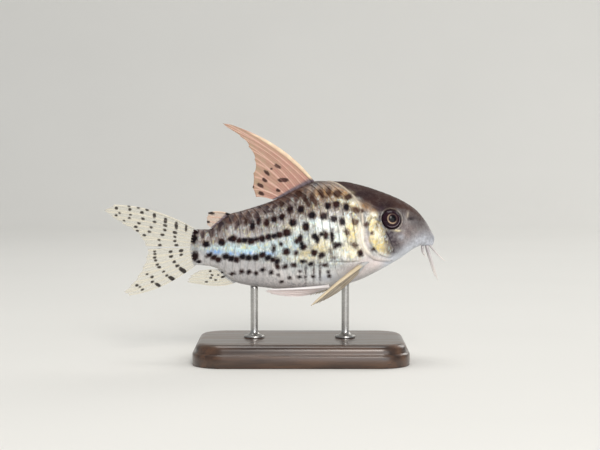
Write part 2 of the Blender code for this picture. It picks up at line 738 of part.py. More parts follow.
def make_median_fin(name, roots, tips, bows, parent, spine=RAY):
    """A fin of the middle plane."""
    make_fin(name, roots, side_view(tips), side_view(bows), FIN_GRIDS[name], parent, spine)


def make_median_fins(parent):
    """The fins on the middle plane: dorsal, adipose, anal and the two lobes of the tail."""
    dorsal, adipose = (on_ridge(span, 0, GAP) for span in (DORSAL_ROOT, ADIPOSE_ROOT))
    make_median_fin("dorsal_fin", dorsal, DORSAL_TIPS, DORSAL_BOWS, parent, SPINE)
    make_median_fin("adipose_fin", adipose, ADIPOSE_TIPS, ADIPOSE_BOWS, parent, ADIPOSE_SPINE)
    make_median_fin("anal_fin", on_ridge(ANAL_ROOT, 1, -GAP), ANAL_TIPS, ANAL_BOWS, parent)
    make_median_fin("tail_fin_upper", side_view(UPPER_ROOTS), UPPER_TIPS, UPPER_BOWS, parent)
    make_median_fin("tail_fin_lower", side_view(LOWER_ROOTS), LOWER_TIPS, LOWER_BOWS, parent)


def make_paired_fin(kind, word, roots, tips, bows, side, parent, spine):
    """A fin of one side, its roots just off the skin."""
    mirror = np.array([1, side, 1])
    off = GAP + MEMBRANE / 2
    places = [on_skin(behind * MM, height * MM, side, off) for behind, height in roots]
    tips, bows = (np.array(points) * MM * mirror for points in (tips, bows))
    make_fin(f"{kind}_{word}", places, tips, bows, FIN_GRIDS[kind], parent, spine)


def make_paired_fins(side, word, parent):
    """The pectoral and pelvic fin of one side."""
    pectoral = (PECTORAL_ROOTS, PECTORAL_TIPS, PECTORAL_BOWS)
    make_paired_fin("pectoral_fin", word, *pectoral, side, parent, SPINE)
    pelvic = (PELVIC_ROOTS, PELVIC_TIPS, PELVIC_BOWS)
    make_paired_fin("pelvic_fin", word, *pelvic, side, parent, RAY)


def rounded_ring(inset, height):
    """The base's outline with its rounded corners, drawn in by the inset, at a height."""
    half_x, half_y = BASE_SIZE[0] / 2 - BASE_CORNER, BASE_SIZE[1] / 2 - BASE_CORNER
    radius = BASE_CORNER - inset
    ring = []
    for number, (sign_x, sign_y) in enumerate(((1, 1), (-1, 1), (-1, -1), (1, -1))):
        for step in range(CORNER_STEPS + 1):
            angle = (number + step / CORNER_STEPS) * math.pi / 2
            x = sign_x * half_x + radius * math.cos(angle)
            y = sign_y * half_y + radius * math.sin(angle)
            ring.append((x, y, height))
    return np.array(ring)


def make_base():
    """The stand's base: a plate with rounded corners and a moulded upper edge."""
    rings = [rounded_ring(inset * MM, height * MM) for inset, height in EDGE_PROFILE]
    base = object_from("stand_base", *lofted(rings, (0, 0, 0), (0, 0, BASE_SIZE[2])))
    base.location = (BASE_X, 0, 0)


def belly_height(behind, across):
    """Height above the axis of the belly's skin at a distance from the middle plane."""
    _, belly, half_width, widest = outline(behind)
    sine = np.clip(np.abs(across) / half_width, 0, 1) ** (1 / belly_power(behind))
    return widest - (widest - belly) * np.sqrt(1 - sine**2)


def make_rod(name, behind):
    """A rod with a broad foot, its top cut to the slope of the belly above it."""
    x = SNOUT_X - behind
    low = BASE_SIZE[2] + GAP
    angle = np.linspace(0, 2 * np.pi, ROD_SIDES, endpoint=False)
    circle = np.stack([np.cos(angle), np.sin(angle), np.zeros(ROD_SIDES)], -1)
    rings = [
        circle * radius * MM + np.array([0, 0, low + height * MM])
        for radius, height in FOOT_PROFILE
    ]
    top = circle * ROD_RADIUS
    top[:, 2] = AXIS_HEIGHT + belly_height(behind - top[:, 0], top[:, 1]) - GAP
    rings.append(top)
    rod = object_from(name, *lofted(rings, (0, 0, low), middle_at(top)))
    rod.location = (x, 0, 0)


COLOURS = {  # linear colour, roughness and metallic of each kind of piece
    "head": ((0.30, 0.25, 0.22), 0.35, 0.2),
    "trunk": ((0.66, 0.66, 0.60), 0.3, 0.4),
    "tail_stem": ((0.62, 0.62, 0.58), 0.3, 0.4),
    "gill_cover": ((0.80, 0.72, 0.42), 0.25, 0.6),
    "eye": ((0.03, 0.02, 0.04), 0.05, 0.0),
    "barbel": ((0.62, 0.48, 0.42), 0.5, 0.0),
    "dorsal_fin": ((0.72, 0.52, 0.42), 0.45, 0.0),
    "adipose_fin": ((0.72, 0.55, 0.46), 0.45, 0.0),
    "anal_fin": ((0.74, 0.70, 0.60), 0.45, 0.0),
    "tail_fin": ((0.74, 0.70, 0.62), 0.45, 0.0),
    "pectoral_fin": ((0.76, 0.66, 0.52), 0.45, 0.0),
    "pelvic_fin": ((0.78, 0.70, 0.66), 0.45, 0.0),
    "stand_base": ((0.10, 0.06, 0.04), 0.4, 0.0),
    "stand_rod": ((0.60, 0.58, 0.54), 0.25, 1.0),
}


def dress(made):
    """Gives an object its own material and smooth shading up to sharp edges."""
    key = next(k for k in COLOURS if made.name.startswith(k))
    colour, roughness, metallic = COLOURS[key]
    material = bpy.data.materials.new(made.name)
    material.use_nodes = True
    shader = material.node_tree.nodes["Principled BSDF"]
    shader.inputs["Base Color"].default_value = (*colour, 1)
    shader.inputs["Roughness"].default_value = roughness
    shader.inputs["Metallic"].default_value = metallic
    made.data.materials.clear()
    made.data.materials.append(material)
    made.data.shade_smooth()
    made.data.set_sharp_from_angle(angle=SHARP_ANGLE)


def main():
    """Builds every piece of the model."""
    for old in list(bpy.data.objects):
        bpy.data.objects.remove(old)
    fish = bpy.data.objects.new("fish", None)
    bpy.context.scene.collection.objects.link(fish)
    fish.location = (SNOUT_X, 0, AXIS_HEIGHT)

    make_head(fish)
    object_from("trunk", *plated_shell(0, TRUNK_PLATES, GAP), fish)
    object_from("tail_stem", *plated_shell(TRUNK_PLATES, PLATES, PLATE_LIP), fish)
    make_median_fins(fish)
    for side, word in ((1, "left"), (-1, "right")):
        make_gill_cover(f"gill_cover_{word}", side, fish)
        make_eye(f"eye_{word}", side, fish)
        make_paired_fins(side, word, fish)
        for name, (place, bend, tip, thick) in BARBELS.items():
            make_barbel(f"{name}_{word}", place, bend, tip, side, thick, fish)
    make_base()
    for name, behind in ROD_BEHIND.items():
        make_rod(name, behind)
    for made in bpy.data.objects:
        if made.type == "MESH":
            dress(made)


main()
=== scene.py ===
"""Spotted corydoras catfish, life size, as a still display model on a base with two rods.

The fish is worked out in its own frame, in metres: x is minus the distance behind the snout
tip, y is positive on the fish's left, and z is the height above the body axis, a level line
through the corner of the mouth. Sizes of marks and reliefs are written in millimetres.
"""

import logging
import math
from dataclasses import dataclass, field
from enum import Enum
from typing import NamedTuple, Sequence

import bpy
import numpy as np
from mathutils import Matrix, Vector
from numpy.typing import NDArray


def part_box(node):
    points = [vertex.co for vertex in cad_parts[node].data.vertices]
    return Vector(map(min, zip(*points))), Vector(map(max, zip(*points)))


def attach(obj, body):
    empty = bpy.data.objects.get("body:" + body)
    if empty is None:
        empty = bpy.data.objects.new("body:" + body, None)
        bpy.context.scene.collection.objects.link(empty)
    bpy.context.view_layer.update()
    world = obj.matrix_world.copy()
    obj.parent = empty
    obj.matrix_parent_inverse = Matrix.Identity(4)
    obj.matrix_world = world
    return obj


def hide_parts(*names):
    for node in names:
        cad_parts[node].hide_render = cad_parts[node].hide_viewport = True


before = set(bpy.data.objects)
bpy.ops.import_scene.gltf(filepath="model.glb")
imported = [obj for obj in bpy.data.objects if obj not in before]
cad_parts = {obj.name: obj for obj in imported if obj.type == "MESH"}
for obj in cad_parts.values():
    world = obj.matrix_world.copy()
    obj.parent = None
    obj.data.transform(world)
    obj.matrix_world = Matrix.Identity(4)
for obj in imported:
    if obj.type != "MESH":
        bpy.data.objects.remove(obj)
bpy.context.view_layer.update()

Array = NDArray[np.float64]
Colour = tuple[float, float, float]
Socket = bpy.types.NodeSocket
log = logging.getLogger("corydoras")

MM = 0.001
BODY = "root"
RIGHT, LEFT = -1, 1
SPOT_POWER = 2.5


def curve_through(places: Sequence[float], values: Sequence[float], at: Array) -> Array:
    """A smooth curve through a few points that never swings past them.

    Monotone cubic: each tangent is the harmonic mean of the slopes beside it, or zero where
    they differ in sign.

    Args:
        places: Rising places of the points.
        values: Their values.
        at: Where the curve is wanted.

    Returns:
        The curve's values there.
    """
    known, height, wanted = (np.asarray(a, float) for a in (places, values, at))
    step = np.diff(known)
    slope = np.diff(height) / step
    same_way = slope[:-1] * slope[1:] > 0
    with np.errstate(divide="ignore", invalid="ignore"):
        inner = 2 * slope[:-1] * slope[1:] / (slope[:-1] + slope[1:])
    tangent = np.concatenate([slope[:1], np.where(same_way, inner, 0.0), slope[-1:]])
    i = np.clip(np.searchsorted(known, wanted, side="right") - 1, 0, len(step) - 1)
    t = np.clip((wanted - known[i]) / step[i], 0, 1)
    rise = height[i] * (1 + 2 * t) * (1 - t) ** 2 + height[i + 1] * t * t * (3 - 2 * t)
    return rise + step[i] * (tangent[i] * t * (1 - t) ** 2 - tangent[i + 1] * t * t * (1 - t))


def ease(low: float, high: float, at: Array) -> Array:
    """0 below low, 1 above high, and 3t^2 - 2t^3 between."""
    t = np.clip((np.asarray(at, float) - low) / (high - low), 0, 1)
    return t * t * (3 - 2 * t)


def bump(at: Array, middle: float, width: float) -> Array:
    """A bell of height 1: e to minus the square of the distance over the width."""
    return np.exp(-(((at - middle) / width) ** 2))


def ripple(points: Array, size: float, seed: int, waves: int = 9) -> Array:
    """Smooth irregular values, mostly between -1 and 1, over points in space.

    The sum of sines that run in random directions, with wavelengths round size.

    Args:
        points: Places, of shape (..., 3).
        size: Typical wavelength, in the points' unit.
        seed: Seed of the draw.
        waves: How many sines are summed.

    Returns:
        One value for each point.
    """
    draw = np.random.default_rng(seed)
    ways = draw.normal(size=(waves, 3))
    ways /= np.linalg.norm(ways, axis=1, keepdims=True)
    ways *= (2 * np.pi / (size * draw.uniform(0.6, 1.6, waves)))[:, None]
    return np.sin(points @ ways.T + draw.uniform(0, 2 * np.pi, waves)).sum(-1) / math.sqrt(waves)


def polygon_distance(points: Array, corners: Array) -> Array:
    """Distance from points to a closed outline in the plane, negative inside it.

    The nearest of the distances to its sides, with the sign by even and odd crossings.

    Args:
        points: Places, of shape (n, 2).
        corners: The outline's corners in order, of shape (m, 2).

    Returns:
        One signed distance for each point.
    """
    ahead = np.roll(corners, -1, axis=0)
    side = ahead - corners
    offset = points[:, None] - corners[None]
    share = np.clip((offset * side).sum(-1) / (side**2).sum(-1), 0, 1)
    near = np.linalg.norm(offset - share[..., None] * side, axis=-1).min(1)
    above = (corners[:, 1] > points[:, 1:]) != (ahead[:, 1] > points[:, 1:])
    height = np.where(side[:, 1] == 0, 1e-12, side[:, 1])
    crossing = corners[:, 0] + (points[:, 1:] - corners[:, 1]) / height * side[:, 0]
    inside = ((points[:, :1] < crossing) & above).sum(1) % 2 == 1
    return np.where(inside, -near, near)


def smoothed(corners: Array, rounds: int = 3) -> Array:
    """A closed outline with its corners cut at a quarter and three quarters of each side."""
    for _ in range(rounds):
        ahead = np.roll(corners, -1, axis=0)
        pairs = [0.75 * corners + 0.25 * ahead, 0.25 * corners + 0.75 * ahead]
        corners = np.stack(pairs, 1).reshape(-1, 2)
    return corners


@dataclass
class Surface:
    """A mesh in the making: points, faces and named values at each point."""

    points: Array
    quads: Array
    triangles: Array
    values: dict[str, Array] = field(default_factory=dict)

    @classmethod
    def tube(cls, rings: Array, values: dict[str, Array] | None = None) -> "Surface":
        """A closed skin over rings of points, with a fan of triangles over each end.

        Args:
            rings: Points of shape (rings, points round a ring, 3).
            values: Named values of shape (rings, points round a ring).

        Returns:
            The surface. Each end's middle point takes the mean of its ring.
        """
        count, around = rings.shape[:2]
        index = np.arange(count * around).reshape(count, around)
        ahead = np.roll(index, -1, axis=1)
        quads = np.stack([index[:-1], index[1:], ahead[1:], ahead[:-1]], -1).reshape(-1, 4)
        ends = [np.full(around, count * around), np.full(around, count * around + 1)]
        first = np.stack([ends[0], index[0], ahead[0]], -1)
        last = np.stack([ends[1], ahead[-1], index[-1]], -1)
        middles = [rings[0].mean(0), rings[-1].mean(0)]
        kept = {
            name: np.concatenate([value.reshape(-1), [value[0].mean(), value[-1].mean()]])
            for name, value in (values or {}).items()
        }
        points = np.concatenate([rings.reshape(-1, 3), middles])
        return cls(points, quads, np.concatenate([first, last]), kept)

    @classmethod
    def plate(cls, middle: Array, half: Array, values: dict[str, Array]) -> "Surface":
        """A thin closed plate: a middle surface moved half its thickness to either side.

        Args:
            middle: Points of shape (rows, columns, 3).
            half: Half the thickness at each of them.
            values: Named values of shape (rows, columns), the same on both faces.

        Returns:
            The surface, with both faces divided alike and a rim between them.
        """
        rows, columns = half.shape
        lift = grid_normals(middle) * half[..., None]
        points = np.concatenate([(middle + lift).reshape(-1, 3), (middle - lift).reshape(-1, 3)])
        index = np.arange(rows * columns).reshape(rows, columns)
        corners = [index[:-1, :-1], index[1:, :-1], index[1:, 1:], index[:-1, 1:]]
        face = np.stack(corners, -1).reshape(-1, 4)
        loop = np.concatenate([index[0, :-1], index[:-1, -1], index[-1, :0:-1], index[:0:-1, 0]])
        after = np.roll(loop, -1)
        shift = rows * columns
        rim = np.stack([loop, after, after + shift, loop + shift], -1)
        quads = np.concatenate([face, face[:, ::-1] + shift, rim])
        kept = {name: np.tile(value.reshape(-1), 2) for name, value in values.items()}
        return cls(points, quads, np.zeros((0, 3), int), kept)

    def outward(self) -> None:
        """Turns every face round if together they enclose a negative volume."""
        a, b, c, d = (self.points[self.quads[:, k]] for k in range(4))
        volume = np.einsum("ij,ij->", a, np.cross(b, c) + np.cross(c, d))
        if volume < 0:
            self.quads = self.quads[:, ::-1]
            self.triangles = self.triangles[:, ::-1]

    def piece(self, name: str, finish: bpy.types.Material, slot: str, *nodes: str) -> None:
        """Makes the object, dresses it and hands it to the frame.

        Args:
            name: The piece's name.
            finish: Its material.
            slot: The record's material slot that it stands for.
            *nodes: The solids that it replaces.
        """
        self.outward()
        mesh = bpy.data.meshes.new(name)
        mesh.vertices.add(len(self.points))
        mesh.vertices.foreach_set("co", self.points.astype(np.float32).ravel())
        corners = np.concatenate([self.quads.ravel(), self.triangles.ravel()])
        sizes = np.repeat([4, 3], [len(self.quads), len(self.triangles)])
        mesh.loops.add(len(corners))
        mesh.loops.foreach_set("vertex_index", corners.astype(np.int32))
        mesh.polygons.add(len(sizes))
        starts = np.concatenate([[0], np.cumsum(sizes)[:-1]])
        mesh.polygons.foreach_set("loop_start", starts.astype(np.int32))
        mesh.update(calc_edges=True)
        mesh.validate()
        for key, value in self.values.items():
            store = mesh.attributes.new(key, "FLOAT", "POINT")
            store.data.foreach_set("value", value.astype(np.float32))
        mesh.shade_smooth()
        mesh.materials.append(finish)
        made = bpy.data.objects.new(name, mesh)
        bpy.context.scene.collection.objects.link(made)
        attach(made, BODY)
        if nodes:
            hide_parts(*nodes)
        triangles = 2 * len(self.quads) + len(self.triangles)
        log.info("%s: %d triangles, slot %s", name, triangles, slot)


def grid_normals(points: Array) -> Array:
    """Unit normals of a grid of points, from its differences along rows and columns."""
    normal = np.cross(np.gradient(points, axis=0), np.gradient(points, axis=1))
    return normal / np.maximum(np.linalg.norm(normal, axis=-1, keepdims=True), 1e-15)


class Spot(NamedTuple):
    """An oval mark in the side view, in mm: where it is, its half sizes and its slant."""

    behind: float
    height: float
    half_length: float = 0.5
    half_height: float = 0.5
    slant: float = 0.0


class Glow(NamedTuple):
    """A soft patch in the side view, in mm: where it is, its reach and its strength."""

    behind: float
    height: float
    length: float
    tall: float
    strength: float = 1.0


def spots_at(*rows: tuple[float, ...]) -> tuple[Spot, ...]:
    """Spots from rows of: mm behind, mm above the axis, half sizes in mm and slant."""
    return tuple(Spot(*row) for row in rows)


def spot_distance(side: Array, spots: Sequence[Spot]) -> Array:
    """Distance to the nearest spot's edge in mm, negative inside it.

    In a spot's own turned frame, q is the root of |x / half length|^n + |z / half height|^n,
    with the power n a little over 2, which squares the oval up. The distance is near (q - 1)
    times the smaller half size.

    Args:
        side: Places as (mm behind the snout, mm above the axis), of shape (n, 2).
        spots: The spots.

    Returns:
        One distance for each place, at most 2.
    """
    nearest = np.full(len(side), 2.0)
    for spot in spots:
        along, up = side[:, 0] - spot.behind, side[:, 1] - spot.height
        cosine, sine = math.cos(spot.slant), math.sin(spot.slant)
        turned = (along * cosine + up * sine, up * cosine - along * sine)
        shares = (turned[0] / spot.half_length, turned[1] / spot.half_height)
        q = sum(np.abs(share) ** SPOT_POWER for share in shares) ** (1 / SPOT_POWER)
        reach = (q - 1) * min(spot.half_length, spot.half_height)
        np.minimum(nearest, reach, out=nearest)
    return nearest


def glow_cover(side: Array, glows: Sequence[Glow]) -> Array:
    """How far soft patches cover places: 1 less the product of what each leaves bare."""
    bare = np.ones(len(side))
    for glow in glows:
        q = ((side[:, 0] - glow.behind) / glow.length) ** 2
        q = q + ((side[:, 1] - glow.height) / glow.tall) ** 2
        bare *= 1 - glow.strength * np.exp(-q)
    return 1 - bare


@dataclass(frozen=True)
class Sight:
    """How the fish is looked at: square to its side from its right, and a little from above."""

    view_width: float = 134.8 * MM
    aim_behind: float = 30.2 * MM
    aim_height: float = 4.4 * MM
    elevation: float = math.radians(3.5)
    lens: float = 100.0
    sensor: float = 36.0

    @property
    def distance(self) -> float:
        """How far off the camera is for its picture to be as wide as the view."""
        return self.view_width * self.lens / self.sensor

    def on_middle_plane(self, points: Array) -> Array:
        """Where points of either flank seem to lie on the middle plane.

        The point's height across the line of sight over its depth gives the height at which
        the same line of sight meets the middle plane, and the distance follows from it.

        Args:
            points: Points in the fish's frame.

        Returns:
            Places as (mm behind the snout, mm above the axis).
        """
        sine, cosine = math.sin(self.elevation), math.cos(self.elevation)
        across = -points[..., 0] - self.aim_behind
        nearer, up = np.abs(points[..., 1]), points[..., 2] - self.aim_height
        depth = self.distance - nearer * cosine - up * sine
        slope = (up * cosine - nearer * sine) / depth
        height = slope * self.distance / (cosine + slope * sine)
        behind = across * (self.distance - height * sine) / depth
        return np.stack([behind + self.aim_behind, height + self.aim_height], -1) / MM


@dataclass(frozen=True)
class Build:
    """The fish's outline: sections along the body, and where its parts sit on it.

    Each station is, in mm: distance behind the snout tip, height of the back and of the
    belly, half width, and height of the widest place.
    """

    stations: tuple[tuple[float, ...], ...] = (
        (0.0, 1.3, 1.3, 0.0, 1.3),
        (0.6, 2.8, -0.1, 1.45, 1.2),
        (2.1, 5.4, 0.2, 2.6, 1.6),
        (4.4, 8.0, -0.7, 3.9, 1.6),
        (7.7, 10.1, -2.95, 5.1, 1.2),
        (12.2, 12.0, -5.55, 6.3, 0.0),
        (16.7, 13.4, -7.75, 7.0, -1.6),
        (20.5, 14.15, -9.0, 7.3, -2.6),
        (26.4, 14.3, -10.2, 7.1, -3.0),
        (31.0, 12.5, -10.2, 6.4, -2.7),
        (36.3, 9.9, -9.8, 5.2, -2.1),
        (43.7, 7.5, -8.8, 3.4, -1.2),
        (45.9, 6.9, -7.7, 2.9, -0.9),
        (48.2, 5.1, -5.7, 2.3, -0.7),
        (50.8, 3.4, -4.8, 1.8, -0.6),
        (53.1, 3.4, -4.6, 1.2, -0.6),
    )
    length: float = 53.1 * MM
    axis_height: float = 26.0 * MM
    head_edge: tuple[tuple[float, float], ...] = (
        (0.0, 23.8), (0.12, 20.5), (0.25, 16.9), (0.45, 15.6), (0.6, 14.2), (0.75, 12.3), (1.0, 11.6),
    )
    plates: int = 22
    mid_turn: float = 0.47
    plate_bulge: float = 0.5 * MM
    lower_lean: float = 2.6 * MM
    eye_place: tuple[float, float] = (9.9 * MM, 6.0 * MM)
    eye_sink: float = 0.65 * MM
    eye_looks: tuple[float, float, float] = (0.2, 1.0, 0.22)
    mouth_behind: float = 1.9 * MM
    mouth_height: float = 0.05 * MM
    mouth_half_length: float = 0.95 * MM
    mouth_half_width: float = 1.65 * MM
    mouth_tilt: float = math.radians(8)

    @property
    def place(self) -> Array:
        """Where the fish's own frame lies: the snout tip's x, and the axis height."""
        return np.array([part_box("head")[1].x, 0.0, self.axis_height])

    def outline(self, behind: Array) -> list[Array]:
        """Back, belly, half width and widest height, as curves over the distance's root."""
        table = np.array(self.stations) * MM
        at = np.sqrt(np.clip(behind, 0, self.length))
        return [curve_through(np.sqrt(table[:, 0]), table[:, k], at) for k in range(1, 5)]

    def skin(self, behind: Array, turn: Array) -> Array:
        """Points of the body's surface.

        The section is y = half width * sin^p, z = widest + reach * cos of the angle, with
        the power p under 1 where it is broad and over 1 where it draws in to a ridge.

        Args:
            behind: Distance behind the snout tip.
            turn: 0 on the back, 1 on the belly down the left side, and on to 2.

        Returns:
            Points in the fish's frame.
        """
        behind, turn = np.broadcast_arrays(np.asarray(behind, float), np.asarray(turn, float))
        back, belly, half_width, widest = self.outline(behind)
        side = np.where(turn <= 1, 1.0, -1.0)
        angle = np.pi * folded(turn)
        sine, cosine = np.clip(np.sin(angle), 0, 1), np.cos(angle)
        above = 0.85 + 0.35 * ease(3 * MM, 22 * MM, behind)
        below = 0.62 + 0.38 * ease(38 * MM, 47 * MM, behind)
        power = np.where(cosine >= 0, above, below)
        y = side * half_width * np.where(sine < 1e-9, 0, sine) ** power
        z = widest + np.where(cosine >= 0, back - widest, widest - belly) * cosine
        return np.stack([-behind, y, z], -1)

    def normal(self, behind: Array, turn: Array) -> Array:
        """Outward unit normals of the surface, from small steps along it."""
        d_behind, d_turn = 0.05 * MM, 0.004
        ahead = self.skin(np.maximum(behind - d_behind, 0), turn)
        along = self.skin(behind + d_behind, turn) - ahead
        across = self.skin(behind, turn + d_turn) - self.skin(behind, turn - d_turn)
        normal = np.cross(across, along)
        return normal / np.maximum(np.linalg.norm(normal, axis=-1, keepdims=True), 1e-12)

    def turn_at(self, behind: float, height: float) -> Array:
        """The turn on the left side at which the skin has that height."""
        back, belly, _, widest = self.outline(behind)
        reach = np.where(height >= widest, back - widest, widest - belly)
        return np.arccos(np.clip((height - widest) / reach, -1, 1)) / np.pi

    def on_skin(self, behind: float, height: float, side: int, off: float = 0.0) -> Array:
        """A point on the flank at that distance and height, moved out by off."""
        turn = self.turn_at(behind, height)
        point = self.skin(behind, turn) + self.normal(behind, turn) * off
        return point * np.array([1, side, 1])

    def edge_of_head(self, turn: Array) -> Array:
        """How far behind the snout the head ends."""
        table = np.array(self.head_edge)
        return curve_through(table[:, 0], table[:, 1] * MM, folded(turn))

    def plate_edge(self, number: Array, turn: Array) -> Array:
        """Distance of a plate's front edge behind the snout.

        The plates share out the body behind the head. Each row's edge bulges to the rear by
        a half sine, and the lower row leans back towards the belly.

        Args:
            number: The plate's number, whole at its front edge.
            turn: The place round the section.

        Returns:
            The distance.
        """
        turn = folded(turn)
        share = np.asarray(number) / self.plates
        front = self.edge_of_head(turn)
        upper = turn / self.mid_turn
        lower = (turn - self.mid_turn) / (1 - self.mid_turn)
        row = np.where(turn < self.mid_turn, upper, lower)
        bulge = self.plate_bulge * np.sin(np.pi * row) * ease(0, 0.1, share) * ease(0, 0.1, 1 - share)
        lean = self.lower_lean * np.maximum(lower, 0) * np.sin(np.pi * share)
        return front + (self.length - front) * share + bulge + lean

    def mouth_ways(self) -> tuple[Array, Array]:
        """The way the mouth looks, down and a little ahead, and the way to its rear edge."""
        down = np.array([math.sin(self.mouth_tilt), 0, -math.cos(self.mouth_tilt)])
        return down, np.cross([0.0, 1.0, 0.0], down)

    def eye_frame(self, side: int) -> tuple[Array, Array]:
        """The middle of an eye, and axes whose first points outwards."""
        ahead = np.array(self.eye_looks) * np.array([1, side, 1])
        ahead = ahead / np.linalg.norm(ahead)
        return self.on_skin(*self.eye_place, side) - ahead * self.eye_sink, axes_along(ahead)


def folded(turn: Array) -> Array:
    """The turn of the same place on the left side."""
    return np.where(turn <= 1, turn, 2 - turn)


def axes_along(way: Array) -> Array:
    """Axes as columns: the way, a level one across it, and their cross product."""
    first = way / np.linalg.norm(way)
    second = np.cross([0.0, 0.0, 1.0], first)
    second /= np.linalg.norm(second)
    return np.stack([first, second, np.cross(first, second)], -1)


class Graph:
    """Adds nodes to a shader tree and joins them up."""

    def __init__(self, tree: bpy.types.NodeTree) -> None:
        """Keeps the tree."""
        self.tree = tree

    def node(self, kind: str, inputs: dict | None = None, **settings: object) -> bpy.types.Node:
        """Adds a node.

        Args:
            kind: Its type, without the word ShaderNode.
            inputs: Sockets to link or values to set, by the input's name or number.
            **settings: Its other properties.

        Returns:
            The node.
        """
        made = self.tree.nodes.new("ShaderNode" + kind)
        for key, value in settings.items():
            setattr(made, key, value)
        self.fill(made, inputs or {})
        return made

    def fill(self, node: bpy.types.Node, inputs: dict) -> None:
        """Links a node's inputs to sockets, or sets values on them."""
        for key, value in inputs.items():
            if isinstance(value, Socket):
                self.tree.links.new(value, node.inputs[key])
            else:
                node.inputs[key].default_value = value

    def value(self, name: str) -> Socket:
        """A value stored at the mesh's points."""
        return self.node("Attribute", attribute_name=name).outputs["Fac"]

    def math(self, operation: str, *terms: Socket | float, clamp: bool = False) -> Socket:
        """The result of one arithmetic step."""
        inputs = dict(enumerate(terms))
        return self.node("Math", inputs, operation=operation, use_clamp=clamp).outputs[0]

    def noise(self, size: float, detail: float = 2.0, stretch: tuple = (1, 1, 1)) -> Socket:
        """Noise over Object coordinates with features of that size, stretched by axis."""
        where = self.node("TexCoord").outputs["Object"]
        scaled = self.node("Mapping", {0: where, "Scale": tuple(1 / (size * s) for s in stretch)})
        inputs = {"Vector": scaled.outputs[0], "Scale": 1.0, "Detail": detail}
        return self.node("TexNoise", inputs).outputs["Fac"]

    def blend(self, factor: Socket | float, below: Socket | tuple, above: Socket | tuple) -> Socket:
        """One colour over another by a factor."""
        inputs = {0: factor, 6: below, 7: above}
        return self.node("Mix", inputs, data_type="RGBA").outputs[2]

    def raised(self, height: Socket, distance: float, strength: float) -> Socket:
        """The normals of a bumpy surface, from its height and how far the bumps stand up."""
        inputs = {"Height": height, "Distance": distance, "Strength": strength}
        return self.node("Bump", inputs).outputs[0]

    def scaled(self, value: Socket, low: float, high: float, to_low: float, to_high: float) -> Socket:
        """A value carried from one range to another, clamped."""
        inputs = {0: value, 1: low, 2: high, 3: to_low, 4: to_high}
        return self.node("MapRange", inputs).outputs[0]


def rgba(colour: Colour) -> tuple[float, float, float, float]:
    """A colour with full alpha."""
    return (*colour, 1.0)


def new_material(name: str) -> tuple[bpy.types.Material, bpy.types.Node, Graph]:
    """A new material, its surface shader and the graph round it."""
    made = bpy.data.materials.new(name)
    made.use_nodes = True
    return made, made.node_tree.nodes["Principled BSDF"], Graph(made.node_tree)


class Effect(Enum):
    """The shader effects that several finishes share."""

    MARKING = "marking"
    GRAIN = "grain"


class Effects:
    """Node groups that put out masks and heights, each built once."""

    def __init__(self) -> None:
        """Builds both groups."""
        self.trees = {Effect.MARKING: self.marking(), Effect.GRAIN: self.grain()}

    @staticmethod
    def start(
        effect: Effect, inputs: dict[str, float], outputs: Sequence[str]
    ) -> tuple[Graph, bpy.types.Node]:
        """An empty group with named inputs and outputs.

        Args:
            effect: The effect, which names the group.
            inputs: Each input's name and default.
            outputs: The outputs' names.

        Returns:
            The group's graph and its input node.
        """
        tree = bpy.data.node_groups.new(effect.value, "ShaderNodeTree")
        for name, default in inputs.items():
            made = tree.interface.new_socket(name, in_out="INPUT", socket_type="NodeSocketFloat")
            made.default_value = default
        for name in outputs:
            tree.interface.new_socket(name, in_out="OUTPUT", socket_type="NodeSocketFloat")
        return Graph(tree), tree.nodes.new("NodeGroupInput")

    def marking(self) -> bpy.types.NodeTree:
        """A mark's mask: where its distance, made uneven by noise, is under zero."""
        inputs = {"Distance": 1.0, "Wobble": 0.15, "Softness": 0.08}
        graph, given = self.start(Effect.MARKING, inputs, ["Mask"])
        uneven = graph.math("SUBTRACT", graph.noise(0.55 * MM, 2.0), 0.5)
        shift = graph.math("MULTIPLY", uneven, given.outputs["Wobble"])
        distance = graph.math("MULTIPLY_ADD", shift, 4.0, given.outputs["Distance"])
        share = graph.math("DIVIDE", distance, given.outputs["Softness"])
        mask = graph.math("MULTIPLY_ADD", share, -0.5, 0.5, clamp=True)
        out = graph.tree.nodes.new("NodeGroupOutput")
        graph.tree.links.new(mask, out.inputs["Mask"])
        return graph.tree

    def grain(self) -> bpy.types.NodeTree:
        """Fine grain, broad clouds and a height made of both."""
        graph, given = self.start(Effect.GRAIN, {"Depth": 1.0}, ["Fine", "Cloud", "Height"])
        fine = graph.scaled(graph.noise(0.16 * MM, 3.0), 0.3, 0.7, 0.0, 1.0)
        cloud = graph.scaled(graph.noise(1.5 * MM, 3.0), 0.35, 0.65, 0.0, 1.0)
        sum_of_both = graph.math("MULTIPLY_ADD", cloud, 0.6, fine)
        height = graph.math("MULTIPLY", sum_of_both, given.outputs["Depth"])
        out = graph.tree.nodes.new("NodeGroupOutput")
        for name, socket in (("Fine", fine), ("Cloud", cloud), ("Height", height)):
            graph.tree.links.new(socket, out.inputs[name])
        return graph.tree


class Pattern(Enum):
    """What breaks up a layer of colour."""

    GRAIN = "grain"
    STREAK = "streak"
    GLITTER = "glitter"


class Layer(NamedTuple):
    """A colour laid over those before it, where a stored value says."""

    value: str
    colour: Colour
    strength: float = 1.0
    broken: float = 0.0
    pattern: Pattern = Pattern.GRAIN


